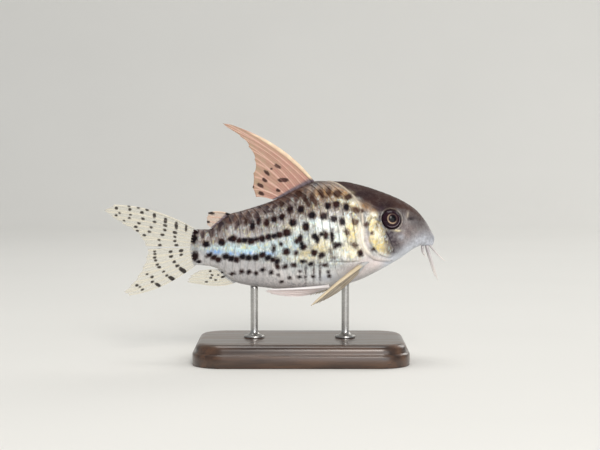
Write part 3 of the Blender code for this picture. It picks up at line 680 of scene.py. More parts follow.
@dataclass(frozen=True)
class SkinFinish:
    """Wet, silvery plates under mottled brown, gold and blue, with dark spots."""

    effects: Effects
    silver: Colour = (0.66, 0.72, 0.72)
    pewter: Colour = (0.20, 0.21, 0.22)
    layers: tuple[Layer, ...] = (
        Layer("tone", (0.30, 0.30, 0.33), 0.6, 0.4, Pattern.STREAK),
        Layer("lilac", (0.41, 0.38, 0.39), 0.85, 0.4, Pattern.STREAK),
        Layer("belly", (0.74, 0.71, 0.70), 0.85, 0.6, Pattern.STREAK),
        Layer("blue", (0.64, 0.84, 0.88), 0.85, 0.75, Pattern.STREAK),
        Layer("azure", (0.15, 0.38, 0.86), 0.9, 0.8, Pattern.STREAK),
        Layer("gold", (0.78, 0.60, 0.21), 0.88, 0.6, Pattern.GLITTER),
        # painted light: white highlights on the shoulder, gill cover and flank, and light painted on the
        # down-facing belly
        Layer("bright", (0.93, 0.93, 0.84), 0.9, 0.6, Pattern.STREAK),
        Layer("upper", (0.20, 0.155, 0.135), 0.85, 0.6, Pattern.STREAK),
        Layer("back", (0.110, 0.058, 0.042), 0.98, 0.22, Pattern.STREAK),
        Layer("nape", (0.37, 0.205, 0.085), 0.95, 0.3, Pattern.STREAK),
        Layer("mottle", (0.022, 0.012, 0.018), 0.95, 0.5),
        Layer("pink", (0.93, 0.80, 0.77), 0.9, 0.2),
        Layer("snout", (0.270, 0.220, 0.208), 0.94, 0.25),
        # chin: pale underside of the head, and painted light on the down-facing belly
        Layer("chin", (0.66, 0.69, 0.76), 0.9, 0.3),
        Layer("crown", (0.078, 0.040, 0.032), 1.0, 0.12),
        Layer("dusk", (0.016, 0.006, 0.009), 0.95, 0.35),
        Layer("shade", (0.040, 0.024, 0.032), 0.96, 0.25, Pattern.GLITTER),
        Layer("pepper", (0.050, 0.036, 0.046), 0.9, 1.0, Pattern.GLITTER),
        # rim: pale colour on raised edges, partly their own paler colour and partly painted highlight
        Layer("rim", (0.66, 0.56, 0.44), 0.8, 0.3),
        Layer("cream", (0.92, 0.84, 0.71), 1.0, 0.25, Pattern.STREAK),
        # dark lines along plate edges, seam and sutures, and painted shade in the mouth, nostril, eye socket,
        # gill slit and crease
        Layer("groove", (0.040, 0.030, 0.034), 0.75, 0.3),
    )
    glints: tuple[Colour, ...] = ((0.93, 0.88, 0.38), (0.60, 0.90, 0.96), (1.0, 1.0, 1.0))
    spot: Colour = (0.006, 0.004, 0.008)
    maroon: Colour = (0.036, 0.012, 0.010)
    spot_rim: Colour = (0.075, 0.034, 0.032)
    faint_spot: Colour = (0.042, 0.015, 0.009)

    def material(self) -> bpy.types.Material:
        """Lays each layer over streaky silver by its value, then glints, then the spots."""
        made, shader, graph = new_material("fish_skin")
        grain = graph.node("Group", {"Depth": 1.0}, node_tree=self.effects.trees[Effect.GRAIN])
        streak = graph.scaled(graph.noise(0.38 * MM, 3.0, (1.0, 1.0, 3.6)), 0.38, 0.62, 0.0, 1.0)
        glitter = graph.scaled(graph.noise(0.58 * MM, 1.5), 0.36, 0.64, 0.0, 1.0)
        fine, cloud = grain.outputs["Fine"], grain.outputs["Cloud"]
        patterns = {
            Pattern.GRAIN: graph.math("MULTIPLY_ADD", cloud, 0.5, graph.math("MULTIPLY", fine, 0.5)),
            Pattern.STREAK: graph.math("MULTIPLY_ADD", streak, 0.6, graph.math("MULTIPLY", cloud, 0.4)),
            Pattern.GLITTER: graph.math("MULTIPLY_ADD", glitter, 0.7, graph.math("MULTIPLY", fine, 0.3)),
        }
        lit = graph.math("MULTIPLY_ADD", streak, 0.55, graph.math("MULTIPLY", glitter, 0.45))
        colour = graph.blend(lit, rgba(self.pewter), rgba(self.silver))
        for layer in self.layers:
            noisy = graph.math("MULTIPLY_ADD", patterns[layer.pattern], 2 * layer.broken, 1 - layer.broken)
            amount = graph.math("MULTIPLY", graph.value(layer.value), noisy)
            factor = graph.math("MULTIPLY", amount, layer.strength, clamp=True)
            colour = graph.blend(factor, colour, rgba(layer.colour))
        where = graph.value("glints")
        for number, tint in enumerate(self.glints):
            flecks = graph.noise((0.42 + 0.06 * number) * MM, 0.0, (1.0, 1.0, 1.7))
            mask = graph.math("MULTIPLY", graph.scaled(flecks, 0.62, 0.74, 0.0, 0.6), where)
            colour = graph.blend(mask, colour, rgba(tint))
        dark = 0.0
        ink = graph.blend(graph.scaled(cloud, 0.35, 0.75, 0.0, 0.8), rgba(self.spot), rgba(self.maroon))
        for value, tint, grown, soft, strength in (
            ("faint", rgba(self.faint_spot), 0.17, 0.26, 0.92),
            ("spots", rgba(self.spot_rim), 0.12, 0.26, 0.65),
            ("spots", ink, 0.0, 0.24, 0.97),
        ):
            distance = graph.math("SUBTRACT", graph.value(value), grown)
            inputs = {"Distance": distance, "Wobble": 0.15, "Softness": soft}
            mask = graph.node("Group", inputs, node_tree=self.effects.trees[Effect.MARKING]).outputs[0]
            colour = graph.blend(graph.math("MULTIPLY", mask, strength), colour, tint)
            dark = graph.math("MAXIMUM", dark, graph.math("MULTIPLY", mask, 0.85))
        dull = graph.math("SUBTRACT", 1.0, graph.math("MAXIMUM", mask, graph.value("crown")))
        sheen = graph.math("MULTIPLY", graph.value("sheen"), dull)
        metal = graph.math("MULTIPLY", sheen, graph.scaled(lit, 0.2, 0.9, 0.35, 0.95))
        metal = graph.math("MAXIMUM", metal, dark)
        metal = graph.math("MAXIMUM", metal, graph.math("MULTIPLY", graph.value("crown"), 0.6))
        rough = graph.scaled(patterns[Pattern.GLITTER], 0.0, 1.0, 0.30, 0.50)
        rough = graph.math("MULTIPLY_ADD", graph.math("SUBTRACT", 1.0, dull), 0.22, rough)
        coat = graph.math("MULTIPLY_ADD", dull, 0.28, 0.03)
        height = graph.math("MULTIPLY_ADD", glitter, 0.8, grain.outputs["Height"])
        raised = graph.raised(height, 0.05 * MM, 0.6)
        graph.fill(shader, {"Base Color": colour, "Metallic": metal, "Roughness": rough})
        graph.fill(shader, {"Coat Weight": coat, "Normal": raised})
        graph.fill(shader, {"Specular IOR Level": 0.28, "Coat Roughness": 0.14})
        return made


@dataclass(frozen=True)
class FinFinish:
    """A clear membrane between paler rays, with dark dots."""

    effects: Effects
    name: str
    membrane: Colour
    ray: Colour
    base: Colour
    clear: float = 0.34
    ray_cover: float = 0.92
    dot: Colour = (0.016, 0.010, 0.012)
    edge: Colour = (0.66, 0.64, 0.54)
    spine: Colour = (0.86, 0.80, 0.68)

    def material(self) -> bpy.types.Material:
        """Blends membrane, rays and dots, and lets light through all but rays and dots."""
        made, shader, graph = new_material(self.name)
        grain = graph.node("Group", {"Depth": 0.6}, node_tree=self.effects.trees[Effect.GRAIN])
        ray = graph.value("ray")
        inputs = {"Distance": graph.value("dots"), "Wobble": 0.07, "Softness": 0.10}
        dots = graph.node("Group", inputs, node_tree=self.effects.trees[Effect.MARKING]).outputs[0]
        near_body = graph.value("near_body")
        cloud = grain.outputs["Cloud"]
        far = graph.math("MULTIPLY_ADD", cloud, 0.4, graph.math("MULTIPLY", graph.value("outer"), 0.6))
        colour = graph.blend(far, rgba(self.membrane), rgba(self.edge))
        colour = graph.blend(ray, colour, rgba(self.ray))
        bony = graph.blend(graph.math("MULTIPLY", cloud, 0.45), rgba(self.spine), rgba(self.ray))
        colour = graph.blend(graph.value("spine"), colour, bony)
        colour = graph.blend(near_body, colour, rgba(self.base))
        colour = graph.blend(graph.math("MULTIPLY", dots, 0.95), colour, rgba(self.dot))
        cover = graph.math("MULTIPLY_ADD", ray, self.ray_cover - self.clear, self.clear)
        cover = graph.math("MAXIMUM", cover, dots)
        cover = graph.math("MAXIMUM", cover, graph.math("MULTIPLY", near_body, 0.95), clamp=True)
        rough = graph.scaled(grain.outputs["Fine"], 0.0, 1.0, 0.30, 0.52)
        raised = graph.raised(grain.outputs["Height"], 0.02 * MM, 0.15)
        metal = graph.math("MULTIPLY", dots, 0.8)
        graph.fill(
            shader,
            {"Base Color": colour, "Alpha": cover, "Roughness": rough, "Normal": raised, "Metallic": metal},
        )
        graph.fill(shader, {"Coat Weight": 0.15, "Coat Roughness": 0.2})
        return made


@dataclass(frozen=True)
class EyeFinish:
    """A black pupil in a broken gold ring, on a dark iris under a clear, wet front."""

    pupil: float = 0.70
    ring: float = 1.05
    arc: float = 1.80
    iris: Colour = (0.011, 0.004, 0.008)
    fibre: Colour = (0.030, 0.012, 0.019)
    gold: Colour = (0.50, 0.36, 0.25)
    pale: Colour = (0.22, 0.18, 0.20)
    black: Colour = (0.003, 0.003, 0.004)

    def material(self) -> bpy.types.Material:
        """Colours the ball by its distance from the pupil's middle and the way round it."""
        made, shader, graph = new_material("fish_eye")
        radial = graph.value("radial")
        noise = graph.noise(0.25 * MM, 3.0)
        share = graph.scaled(noise, 0.3, 0.7, 0.0, 1.0)
        fibres = graph.blend(share, rgba(self.iris), rgba(self.fibre))
        ring = self.band(graph, radial, self.ring, 0.13)
        ring = graph.math("MULTIPLY", ring, graph.value("broken"))
        colour = graph.blend(ring, fibres, rgba(self.gold))
        arc = graph.math("MULTIPLY", self.band(graph, radial, self.arc, 0.07), graph.value("lower"))
        colour = graph.blend(arc, colour, rgba(self.pale))
        pupil = graph.scaled(radial, self.pupil - 0.04, self.pupil + 0.04, 1.0, 0.0)
        colour = graph.blend(pupil, colour, rgba(self.black))
        rough = graph.scaled(noise, 0, 1, 0.10, 0.30)
        metal = graph.math("MULTIPLY", ring, 0.6)
        graph.fill(shader, {"Base Color": colour, "Roughness": rough, "Metallic": metal})
        graph.fill(shader, {"Specular IOR Level": 0.08, "Coat Weight": 0.16, "Coat Roughness": 0.03})
        return made

    @staticmethod
    def band(graph: Graph, radial: Socket, middle: float, half: float) -> Socket:
        """A soft band round the pupil: 1 less the distance from its middle over its half."""
        away = graph.math("ABSOLUTE", graph.math("SUBTRACT", radial, middle))
        return graph.scaled(away, half * 0.6, half * 1.3, 1.0, 0.0)


@dataclass(frozen=True)
class BarbelFinish:
    """Soft feelers, brownish at the root and paler towards the tip."""

    effects: Effects
    root: Colour = (0.44, 0.41, 0.43)
    tip: Colour = (0.76, 0.70, 0.66)

    def material(self) -> bpy.types.Material:
        """Blends root to tip along the feeler, with fine grain."""
        made, shader, graph = new_material("fish_barbel")
        grain = graph.node("Group", {"Depth": 1.0}, node_tree=self.effects.trees[Effect.GRAIN])
        along = graph.math("MULTIPLY_ADD", grain.outputs["Cloud"], 0.2, graph.value("along"), clamp=True)
        colour = graph.blend(along, rgba(self.root), rgba(self.tip))
        rough = graph.scaled(grain.outputs["Fine"], 0.0, 1.0, 0.3, 0.5)
        raised = graph.raised(grain.outputs["Height"], 0.02 * MM, 0.4)
        graph.fill(
            shader, {"Base Color": colour, "Roughness": rough, "Normal": raised, "Coat Weight": 0.4}
        )
        return made


@dataclass(frozen=True)
class WoodFinish:
    """Dark, varnished wood with its grain along the base."""

    dark: Colour = (0.030, 0.014, 0.008)
    light: Colour = (0.110, 0.052, 0.026)

    def material(self) -> bpy.types.Material:
        """Stretched noise gives the grain, and finer noise the pores."""
        made, shader, graph = new_material("stand_wood")
        rings = graph.noise(1.6 * MM, 4.0, (14.0, 1.0, 1.6))
        pores = graph.noise(0.35 * MM, 2.0, (16.0, 1.0, 1.0))
        share = graph.scaled(rings, 0.35, 0.65, 0.0, 1.0)
        colour = graph.blend(share, rgba(self.dark), rgba(self.light))
        pore = graph.scaled(pores, 0.56, 0.70, 0.0, 0.7)
        colour = graph.blend(pore, colour, rgba(self.dark))
        rough = graph.scaled(share, 0, 1, 0.30, 0.42)
        raised = graph.raised(pores, 0.05 * MM, 0.25)
        graph.fill(shader, {"Base Color": colour, "Roughness": rough, "Normal": raised})
        graph.fill(shader, {"Coat Weight": 0.5, "Coat Roughness": 0.18})
        return made


@dataclass(frozen=True)
class SteelFinish:
    """Brushed steel, turned on a lathe."""

    colour: Colour = (0.56, 0.55, 0.53)
    smear: Colour = (0.42, 0.41, 0.40)

    def material(self) -> bpy.types.Material:
        """Noise pressed flat along the rod gives fine turning marks."""
        made, shader, graph = new_material("stand_steel")
        marks = graph.noise(0.08 * MM, 2.0, (20.0, 20.0, 1.0))
        smears = graph.noise(2.0 * MM, 2.0)
        colour = graph.blend(smears, rgba(self.colour), rgba(self.smear))
        rough = graph.scaled(marks, 0.3, 0.7, 0.2, 0.4)
        raised = graph.raised(marks, 0.01 * MM, 0.3)
        graph.fill(shader, {"Base Color": colour, "Roughness": rough, "Normal": raised, "Metallic": 1.0})
        return made


@dataclass(frozen=True)
class FloorFinish:
    """Plain, matt, pale paper."""

    colour: Colour = (0.80, 0.79, 0.76)
    cloud_shade: float = 0.96

    def material(self) -> bpy.types.Material:
        """A pale colour with the faintest cloud in it."""
        made, shader, graph = new_material("floor_paper")
        cloud = graph.noise(60 * MM, 2.0)
        deeper = tuple(self.cloud_shade * c for c in self.colour)
        colour = graph.blend(cloud, rgba(self.colour), rgba(deeper))
        graph.fill(shader, {"Base Color": colour, "Roughness": 0.9})
        return made


@dataclass
class Markings:
    """Where the spots lie on the flank, in mm behind the snout and above the axis."""

    row_growth: tuple[float, float] = (1.20, 1.10)
    dot_growth: tuple[float, float] = (1.05, 1.1)
    upper_row: tuple[Spot, ...] = spots_at(
        (51.3, 0.1, 0.6, 0.62), (47.8, 0.6, 0.58, 0.68), (45.9, 1.2, 0.45, 0.4), (45.2, 1.3, 0.62, 0.72),
        (43.9, 0.9, 0.62, 0.52), (42.6, 0.9, 0.6, 0.52), (41.2, 0.75, 0.62, 0.68), (40.0, 1.1, 0.6, 0.45),
        (38.7, 1.3, 0.62, 0.62), (37.3, 1.7, 0.6, 0.62), (36.0, 1.9, 0.55, 0.5), (34.8, 2.2, 0.62, 0.6),
        (33.2, 2.7, 0.76, 0.76),
    )
    lower_row: tuple[Spot, ...] = spots_at(
        (50.6, -2.4, 0.62, 0.42, -0.3), (49.6, -2.9, 0.6, 0.45, -0.4), (48.6, -3.4, 0.55, 0.55),
        (46.8, -2.7, 0.72, 0.58), (45.6, -3.2, 0.6, 0.55), (44.5, -3.4, 0.58, 0.55),
        (43.1, -2.8, 0.66, 0.6), (41.7, -3.0, 0.6, 0.55), (40.2, -2.9, 0.66, 0.62),
        (38.7, -2.4, 0.66, 0.58, -0.3), (37.4, -3.0, 0.62, 0.52, -0.4), (36.3, -3.4, 0.55, 0.5),
        (35.4, -4.0, 0.42, 0.85, 0.3), (35.3, -5.0, 0.4, 0.6, -0.4),
    )
    back_row: tuple[Spot, ...] = spots_at(
        (40.9, 4.2, 0.55, 1.05, 0.15), (39.5, 5.2, 0.5, 0.9, 0.1), (37.7, 4.9, 0.55, 0.85, 0.2),
        (36.0, 5.7, 0.64, 0.72, 0.4), (34.3, 6.2, 0.66, 0.68, 0.4), (32.4, 7.9, 0.64, 0.8),
        (30.0, 7.9, 0.7, 0.9),
    )
    shoulder: tuple[Spot, ...] = spots_at(
        (31.8, 4.9, 0.8, 0.82), (28.9, 4.0, 0.72, 0.98), (27.5, 6.6, 0.88, 0.8), (24.8, 6.4, 0.82, 0.8),
        (22.6, 5.8, 0.75, 0.72), (20.8, 5.2, 0.62, 1.0, -0.25), (23.9, 8.7, 0.72, 0.7),
        (22.0, 9.0, 0.72, 0.8), (19.8, 8.4, 0.66, 0.85), (26.9, 1.9, 0.6, 0.66), (26.3, 1.2, 0.45, 0.85),
        (25.3, 2.3, 0.55, 0.5), (24.4, 2.1, 0.55, 0.9, -0.3), (23.0, 1.8, 0.42, 1.3),
        (21.8, 0.0, 1.0, 0.5, 0.1), (22.3, -0.5, 0.4, 0.5), (16.6, -1.9, 0.62, 0.72),
        (27.0, -1.9, 0.68, 0.66), (25.3, -2.4, 0.72, 0.58, -0.3), (30.2, 1.3, 0.62, 0.85, 0.2),
        (30.9, 0.8, 0.5, 0.65), (29.9, 0.2, 0.45, 0.7), (29.5, -0.6, 0.78, 0.6), (33.3, -1.6, 0.8, 0.72),
        (31.1, -1.9, 0.42, 0.5), (36.1, -0.9, 0.42, 0.75), (34.5, 0.1, 0.36, 0.42),
    )
    tail_root: tuple[Spot, ...] = spots_at(
        (54.1, 1.2, 0.7, 0.95, 0.4), (53.6, 3.0, 0.72, 0.6), (53.8, -2.7, 0.72, 1.0, 0.15),
        (53.0, -4.0, 0.55, 0.5),
    )
    fine_dots: tuple[Spot, ...] = spots_at(
        (45.5, -6.6, 0.62, 0.3, -0.3), (43.3, -6.1, 0.5, 0.4, -0.3), (41.7, -6.2, 0.48, 0.38, -0.3),
        (40.1, -6.5, 0.42, 0.36), (38.6, -5.7, 0.52, 0.34, -0.3), (36.7, -6.3, 0.46, 0.34, -0.3),
        (33.6, -5.0, 0.6, 0.4, -0.3), (31.6, -4.6, 0.6, 0.38), (29.5, -3.8, 0.62, 0.38),
        (27.8, -4.4, 0.6, 0.36, -0.3), (24.6, -4.6, 0.6, 0.3, 0.1), (34.3, -8.4, 0.34, 0.26),
        (32.5, -7.5, 0.34, 0.26), (30.3, -7.3, 0.36, 0.24), (35.1, -6.9, 0.26, 0.22),
        (30.2, -6.1, 0.26, 0.22), (23.8, -6.2, 0.28, 0.28), (23.6, -7.1, 0.3, 0.26),
        (28.9, -6.1, 0.09, 0.7), (28.9, -7.3, 0.22, 0.2), (27.1, -6.0, 0.09, 0.8),
        (27.2, -7.2, 0.36, 0.26), (25.7, -6.0, 0.08, 0.8),
    )
    pale: tuple[Spot, ...] = spots_at(
        (17.9, 5.1, 0.75, 0.6, 0.3), (17.6, 7.8, 0.85, 0.45, 0.2), (19.7, 2.8, 0.45, 0.7, -0.5),
        (18.0, -0.1, 0.75, 0.42, 0.5), (23.3, -1.6, 0.14, 0.36), (22.8, -2.9, 0.4, 0.14),
        (15.3, 4.5, 0.4, 0.45, 0.6), (13.8, -1.1, 0.4, 0.3), (14.0, 2.6, 0.25, 0.3),
        (16.3, 7.6, 0.35, 0.3),
    )
    nape: tuple[Spot, ...] = spots_at(
        (28.6, 9.6, 0.4, 1.1, -0.5), (27.2, 10.0, 0.45, 1.2, -0.6), (25.4, 11.4, 0.42, 1.0, -0.5),
        (23.8, 11.9, 0.5, 0.9, -0.4), (21.8, 11.4, 0.7, 0.7, -0.4), (19.4, 10.7, 0.7, 0.55, -0.5),
        (30.4, 11.4, 0.6, 0.8, -0.5), (42.4, 5.2, 0.3, 0.6), (34.3, 9.1, 0.5, 0.4),
    )

    def dark(self) -> tuple[Spot, ...]:
        """Every dark spot, with those of the rows and the fine dots grown a little."""
        rows = self.grown(self.upper_row + self.lower_row, *self.row_growth)
        dots = self.grown(self.fine_dots, *self.dot_growth)
        return (*rows, *self.back_row, *self.shoulder, *self.tail_root, *dots)

    @staticmethod
    def grown(spots: Sequence[Spot], longer: float, taller: float) -> list[Spot]:
        """Spots with their half sizes multiplied."""
        return [
            spot._replace(half_length=spot.half_length * longer, half_height=spot.half_height * taller)
            for spot in spots
        ]

    def brown(self) -> tuple[Spot, ...]:
        """Every paler, browner spot."""
        return self.pale + self.nape


@dataclass(frozen=True)
class Heights:
    """How far each relief stands up from the skin, or is sunk in it, in mm."""

    seam: float = 0.05
    shield: float = 0.10
    head_grain: float = 0.022
    body_grain: float = 0.010
    suture: float = 0.10
    side_suture: float = 0.07
    gill_cover: float = 0.20
    gill_groove: float = 0.10
    shoulder_rim: float = 0.16
    gill_slit: float = 0.20
    socket: float = 1.7
    socket_rim: float = 0.18
    nostril: float = 0.45
    flap: float = 0.38
    lips: float = 0.40
    mouth: float = 0.55
    crease: float = 0.14
    under_crease: float = 0.10


@dataclass
class Skin:
    """One skin over head, gill covers, trunk and tail stem, with its plates and marks.

    Rings run from snout to tail and columns round the section. Each point is the surface's
    point moved along its normal by a relief in mm, and carries the strength of each tint.
    """

    build: Build
    sight: Sight
    marks: Markings
    finish: SkinFinish
    side_columns: int = 125
    head_rings: int = 160
    head_spacing: float = 1.7
    plate_shares: tuple[float, ...] = (0.0, 0.12, 0.27, 0.43, 0.58, 0.72, 0.83, 0.90, 0.94)
    tail_rings: int = 12
    head_cut: float = 0.45 * MM
    plate_rise: float = 0.13
    seam: float = 0.03
    gill_cover: tuple[tuple[float, float], ...] = (
        (14.1, 7.0), (15.2, 5.0), (15.0, 1.6), (13.7, -1.0), (11.6, -2.3), (9.5, -2.5), (9.7, 0.0),
        (10.6, 2.4), (11.8, 4.6),
    )
    gill_opening: tuple[tuple[float, float], ...] = (
        (16.2, 7.2), (16.6, 5.0), (16.4, 1.4), (15.2, -1.2), (13.4, -2.6), (10.4, -3.1),
    )
    heights: Heights = Heights()
    jitter: float = 0.35
    seed: int = 11

    def grid(self) -> tuple[Array, Array, Array]:
        """Where each ring and column lies.

        Head rings share out the way to the head's edge by a power of their number. Each plate
        has rings at fixed shares of its length. The tail's rings go on over the fin's root.

        Returns:
            Distance behind the snout and turn, as grids, and each ring's plate number.
        """
        half = np.linspace(0, 1, self.side_columns + 1)
        turns = np.concatenate([half, 2 - half[-2:0:-1]])
        first = self.edge(np.zeros((1, 1)), turns[None])
        shares = np.linspace(0.03, 1, self.head_rings, endpoint=False) ** self.head_spacing
        head = shares[:, None] * first
        numbers = np.add.outer(np.arange(self.build.plates), self.plate_shares).ravel()
        plates = self.edge(numbers[:, None], turns[None])
        reach = (0.7 + 1.0 * np.sin(np.pi * folded(turns))) * MM
        tail = self.build.length + np.linspace(0, 1, self.tail_rings)[:, None] * reach
        behind = np.concatenate([head, plates, tail])
        ring = np.concatenate(
            [np.full(len(head), -1.0), numbers, np.full(len(tail), float(self.build.plates))]
        )
        return behind, np.broadcast_to(turns, behind.shape), ring

    def edge(self, number: Array, turns: Array) -> Array:
        """A plate's front edge, with the first one behind the cut that ends the head."""
        share = 1 - number / self.build.plates
        return self.build.plate_edge(number, turns) + self.head_cut * share

    def build_piece(self) -> None:
        """Makes the skin and dresses it."""
        behind, turn, ring = self.grid()
        flat = self.build.skin(behind, turn)
        taper = 1 - 0.9 * ease(self.build.length / MM - 0.2, self.build.length / MM + 1.5, behind / MM)
        flat[..., 1] *= taper
        normal = self.build.normal(np.minimum(behind, self.build.length - 0.1 * MM), turn)
        spot_side = np.stack([behind / MM, flat[..., 2] / MM], -1)
        raised, lines = self.relief(flat, spot_side, turn, ring)
        points = flat + normal * raised[..., None] * MM
        values = self.tints(points, spot_side, turn, ring, behind)
        values.update(lines)
        surface = Surface.tube(points + self.build.place, values)
        nodes = ("head", "trunk", "tail_stem", "gill_cover_left", "gill_cover_right")
        surface.piece("fish_body", self.finish.material(), "plates", *nodes)

    def plate_mask(self, number: Array, turn: Array) -> Array:
        """1 where plates stand up from the skin: not on the midlines, the seam or the belly."""
        share = number / self.build.plates
        seam = ease(0.3 * self.seam, self.seam, np.abs(turn - self.build.mid_turn))
        belly_edge = 0.66 + 0.24 * ease(0.55, 0.8, share)
        shoulder = 1 - (1 - ease(0.08, 0.22, share)) * ease(0.5, 0.56, turn)
        belly = 1 - ease(0, 0.1, turn - belly_edge)
        return ease(0.02, 0.06, turn) * seam * belly * shoulder

    def relief(
        self, flat: Array, side: Array, turn: Array, ring: Array
    ) -> tuple[Array, dict[str, Array]]:
        """Heights of everything that stands up from the skin or is sunk in it, in mm.

        Args:
            flat: The surface's points before relief.
            side: The same in the side view, in mm.
            turn: Each point's turn.
            ring: Each ring's plate number.

        Returns:
            The heights, and the strength of the pale rims (partly painted highlight) and dark grooves (partly
            painted shade) that go with them.
        """
        rise = self.heights
        fold = folded(turn)
        b, h = side[..., 0], side[..., 1]
        number = np.broadcast_to(ring[:, None], b.shape)
        plated = (number >= 0) & (number < self.build.plates)
        whole = np.floor(np.clip(number, 0, self.build.plates - 1))
        share = np.where(plated, number - whole, 0)
        mask = np.where(plated, self.plate_mask(whole + 0.5, fold), 0)
        height = self.plate_rise * share**1.4 * mask
        seam = np.where(plated, bump(fold, self.build.mid_turn + 0.004 * np.sin(2 * np.pi * share), 0.007), 0)
        seam = seam * ease(0, 1.0, whole + share)
        height = height - rise.seam * seam
        # Dark lines at the plates' edges and on the seam, and a pale rim near each plate's rear edge, partly
        # painted highlight.
        front = np.where(plated, bump(share, 0.0, 0.10) + bump(share, 1.0, 0.08), 0) * mask
        groove = np.maximum(0.20 * seam, 0.15 * front)
        rim = np.where(plated, bump(share, 0.84, 0.10), 0) * mask * 0.12

        edge = self.edge(np.zeros((1, 1)), turn) / MM
        upper = 1 - ease(0.34, 0.46, fold)
        shield = bump(b, edge - 0.35, 0.35) * upper
        height = height + rise.shield * shield - rise.shield * bump(b, edge + 0.08, 0.16) * upper
        # Painted highlight along the shield's raised rear edge.
        rim = np.maximum(rim, shield)

        points = flat / MM
        head = 1 - ease(-0.6, 0.0, b - edge)
        grain = ripple(points, 1.3, 5) * 0.5 + ripple(points, 0.6, 6) * 0.5
        height = height + rise.head_grain * grain * head * (1 - ease(0.55, 0.7, fold))
        height = height + rise.body_grain * ripple(points, 0.8, 7) * (1 - head)

        suture = bump(fold, 0.0, 0.012) * ease(8.5, 9.5, b) * (1 - ease(14.0, 15.0, b))
        branch = bump(h - 0.42 * b, 2.9, 0.16) * ease(12.6, 13.2, b) * head
        cross = bump(b - 0.5 * (h - 9), 15.8, 0.16) * ease(7.6, 8.4, h) * head
        height = height - rise.suture * suture - rise.side_suture * branch - rise.side_suture * cross
        groove = np.maximum(groove, np.maximum(suture, 0.6 * np.maximum(branch, cross)))

        near = (b < 18.5) & (b > 7)
        cover = np.full(b.shape, 5.0)
        cover[near] = polygon_distance(side[near], smoothed(np.array(self.gill_cover)))
        opening = np.full(b.shape, 5.0)
        opening[near] = self.line_distance(side[near], self.gill_opening)
        height = height + rise.gill_cover * (1 - ease(-0.15, 0.10, cover))
        height = height - rise.gill_groove * bump(cover, 0.22, 0.16)
        low = 1 - 0.7 * ease(3.2, 5.2, h)
        slope = rise.shoulder_rim * bump(opening, 0.0, 0.40) - rise.gill_slit * bump(opening, 0.62, 0.20)
        height = height + slope * low
        # Painted shade in the groove round the gill cover and in the gill slit, and painted highlight on the
        # ridge along the opening.
        groove = np.maximum(groove, 0.30 * bump(cover, 0.20, 0.14))
        groove = np.maximum(groove, 0.30 * bump(opening, 0.62, 0.18) * low)
        rim = np.maximum(rim, 0.30 * bump(opening, 0.0, 0.34) * low)

        for way in (LEFT, RIGHT):
            middle, axes = self.build.eye_frame(way)
            local = (flat - middle) @ axes / MM
            radius = np.hypot(local[..., 1], local[..., 2])
            here = (np.sign(flat[..., 1]) == way) & (local[..., 0] > -2.5) & (radius < 4)
            socket = -rise.socket * (1 - ease(1.95, 2.32, radius))
            socket = socket + rise.socket_rim * bump(radius, 2.5, 0.22)
            height = height + np.where(here, socket, 0)
            # Painted highlight on the socket's rim, and painted shade inside the socket.
            rim = np.maximum(rim, np.where(here, 0.25 * bump(radius, 2.45, 0.12), 0))
            groove = np.maximum(groove, np.where(here, 0.95 * (1 - ease(2.1, 2.38, radius)), 0))

        slit = np.exp(-(((b - 5.25) / 0.8) ** 2) - ((h - 6.05) / 0.30) ** 2)
        flap = np.exp(-(((b - 6.3 + 0.2 * (h - 6.8)) / 0.30) ** 2) - ((h - 6.8) / 0.75) ** 2)
        height = height - rise.nostril * slit + rise.flap * flap
        # Painted shade in the nostril slit, and painted highlight on its flap.
        groove = np.maximum(groove, slit)
        rim = np.maximum(rim, 0.5 * flap)

        lips, inside = self.mouth(flat)
        height = height + rise.lips * lips - rise.mouth * inside
        # Painted shade in the mouth's opening.
        groove = np.maximum(groove, inside)

        crease = bump(h, -3.35 + 0.05 * np.sin(1.2 * b), 0.14) * ease(16.8, 17.6, b)
        crease = crease * (1 - ease(23.0, 25.0, b))
        below = bump(h, -2.9, 0.5) * ease(16.6, 17.6, b) * (1 - ease(23.0, 25.0, b))
        height = height - rise.crease * crease + rise.under_crease * below
        # Painted shade along the crease.
        groove = np.maximum(groove, 0.5 * crease)
        return height, {"rim": np.clip(rim, 0, 1), "groove": np.clip(groove, 0, 1)}

    def mouth(self, flat: Array) -> tuple[Array, Array]:
        """Strength of the lips and of the opening between them.

        In the mouth's own plane, q is the length of (along / half length, across / half
        width): lips follow q = 1 and the opening is where q is under about a half.
        """
        middle = np.array([-self.build.mouth_behind, 0, self.build.mouth_height])
        down, back = self.build.mouth_ways()
        local = flat - middle
        along = (local @ back) / self.build.mouth_half_length
        across = local[..., 1] / self.build.mouth_half_width
        q = np.hypot(along, across)
        under = ease(-1.1 * MM, -0.6 * MM, local @ down)
        return bump(q, 1.0, 0.28) * under, (1 - ease(0.42, 0.72, q)) * under

    @staticmethod
    def line_distance(points: Array, line: Sequence[tuple[float, float]]) -> Array:
        """Distance to a smooth open line, positive behind it: the nearest of 60 short chords."""
        known = np.array(line)
        run = np.linspace(0, 1, len(known))
        at = np.linspace(0, 1, 60)
        path = np.stack([curve_through(run, known[:, k], at) for k in range(2)], -1)
        chord = np.diff(path, axis=0)
        offset = points[:, None] - path[None, :-1]
        share = np.clip((offset * chord).sum(-1) / (chord**2).sum(-1), 0, 1)
        away = np.linalg.norm(offset - share[..., None] * chord, axis=-1)
        nearest = away.argmin(1)
        rows = np.arange(len(points))
        to_point, along = offset[rows, nearest], chord[nearest]
        turned = along[:, 0] * to_point[:, 1] - along[:, 1] * to_point[:, 0]
        return away[rows, nearest] * np.sign(turned)

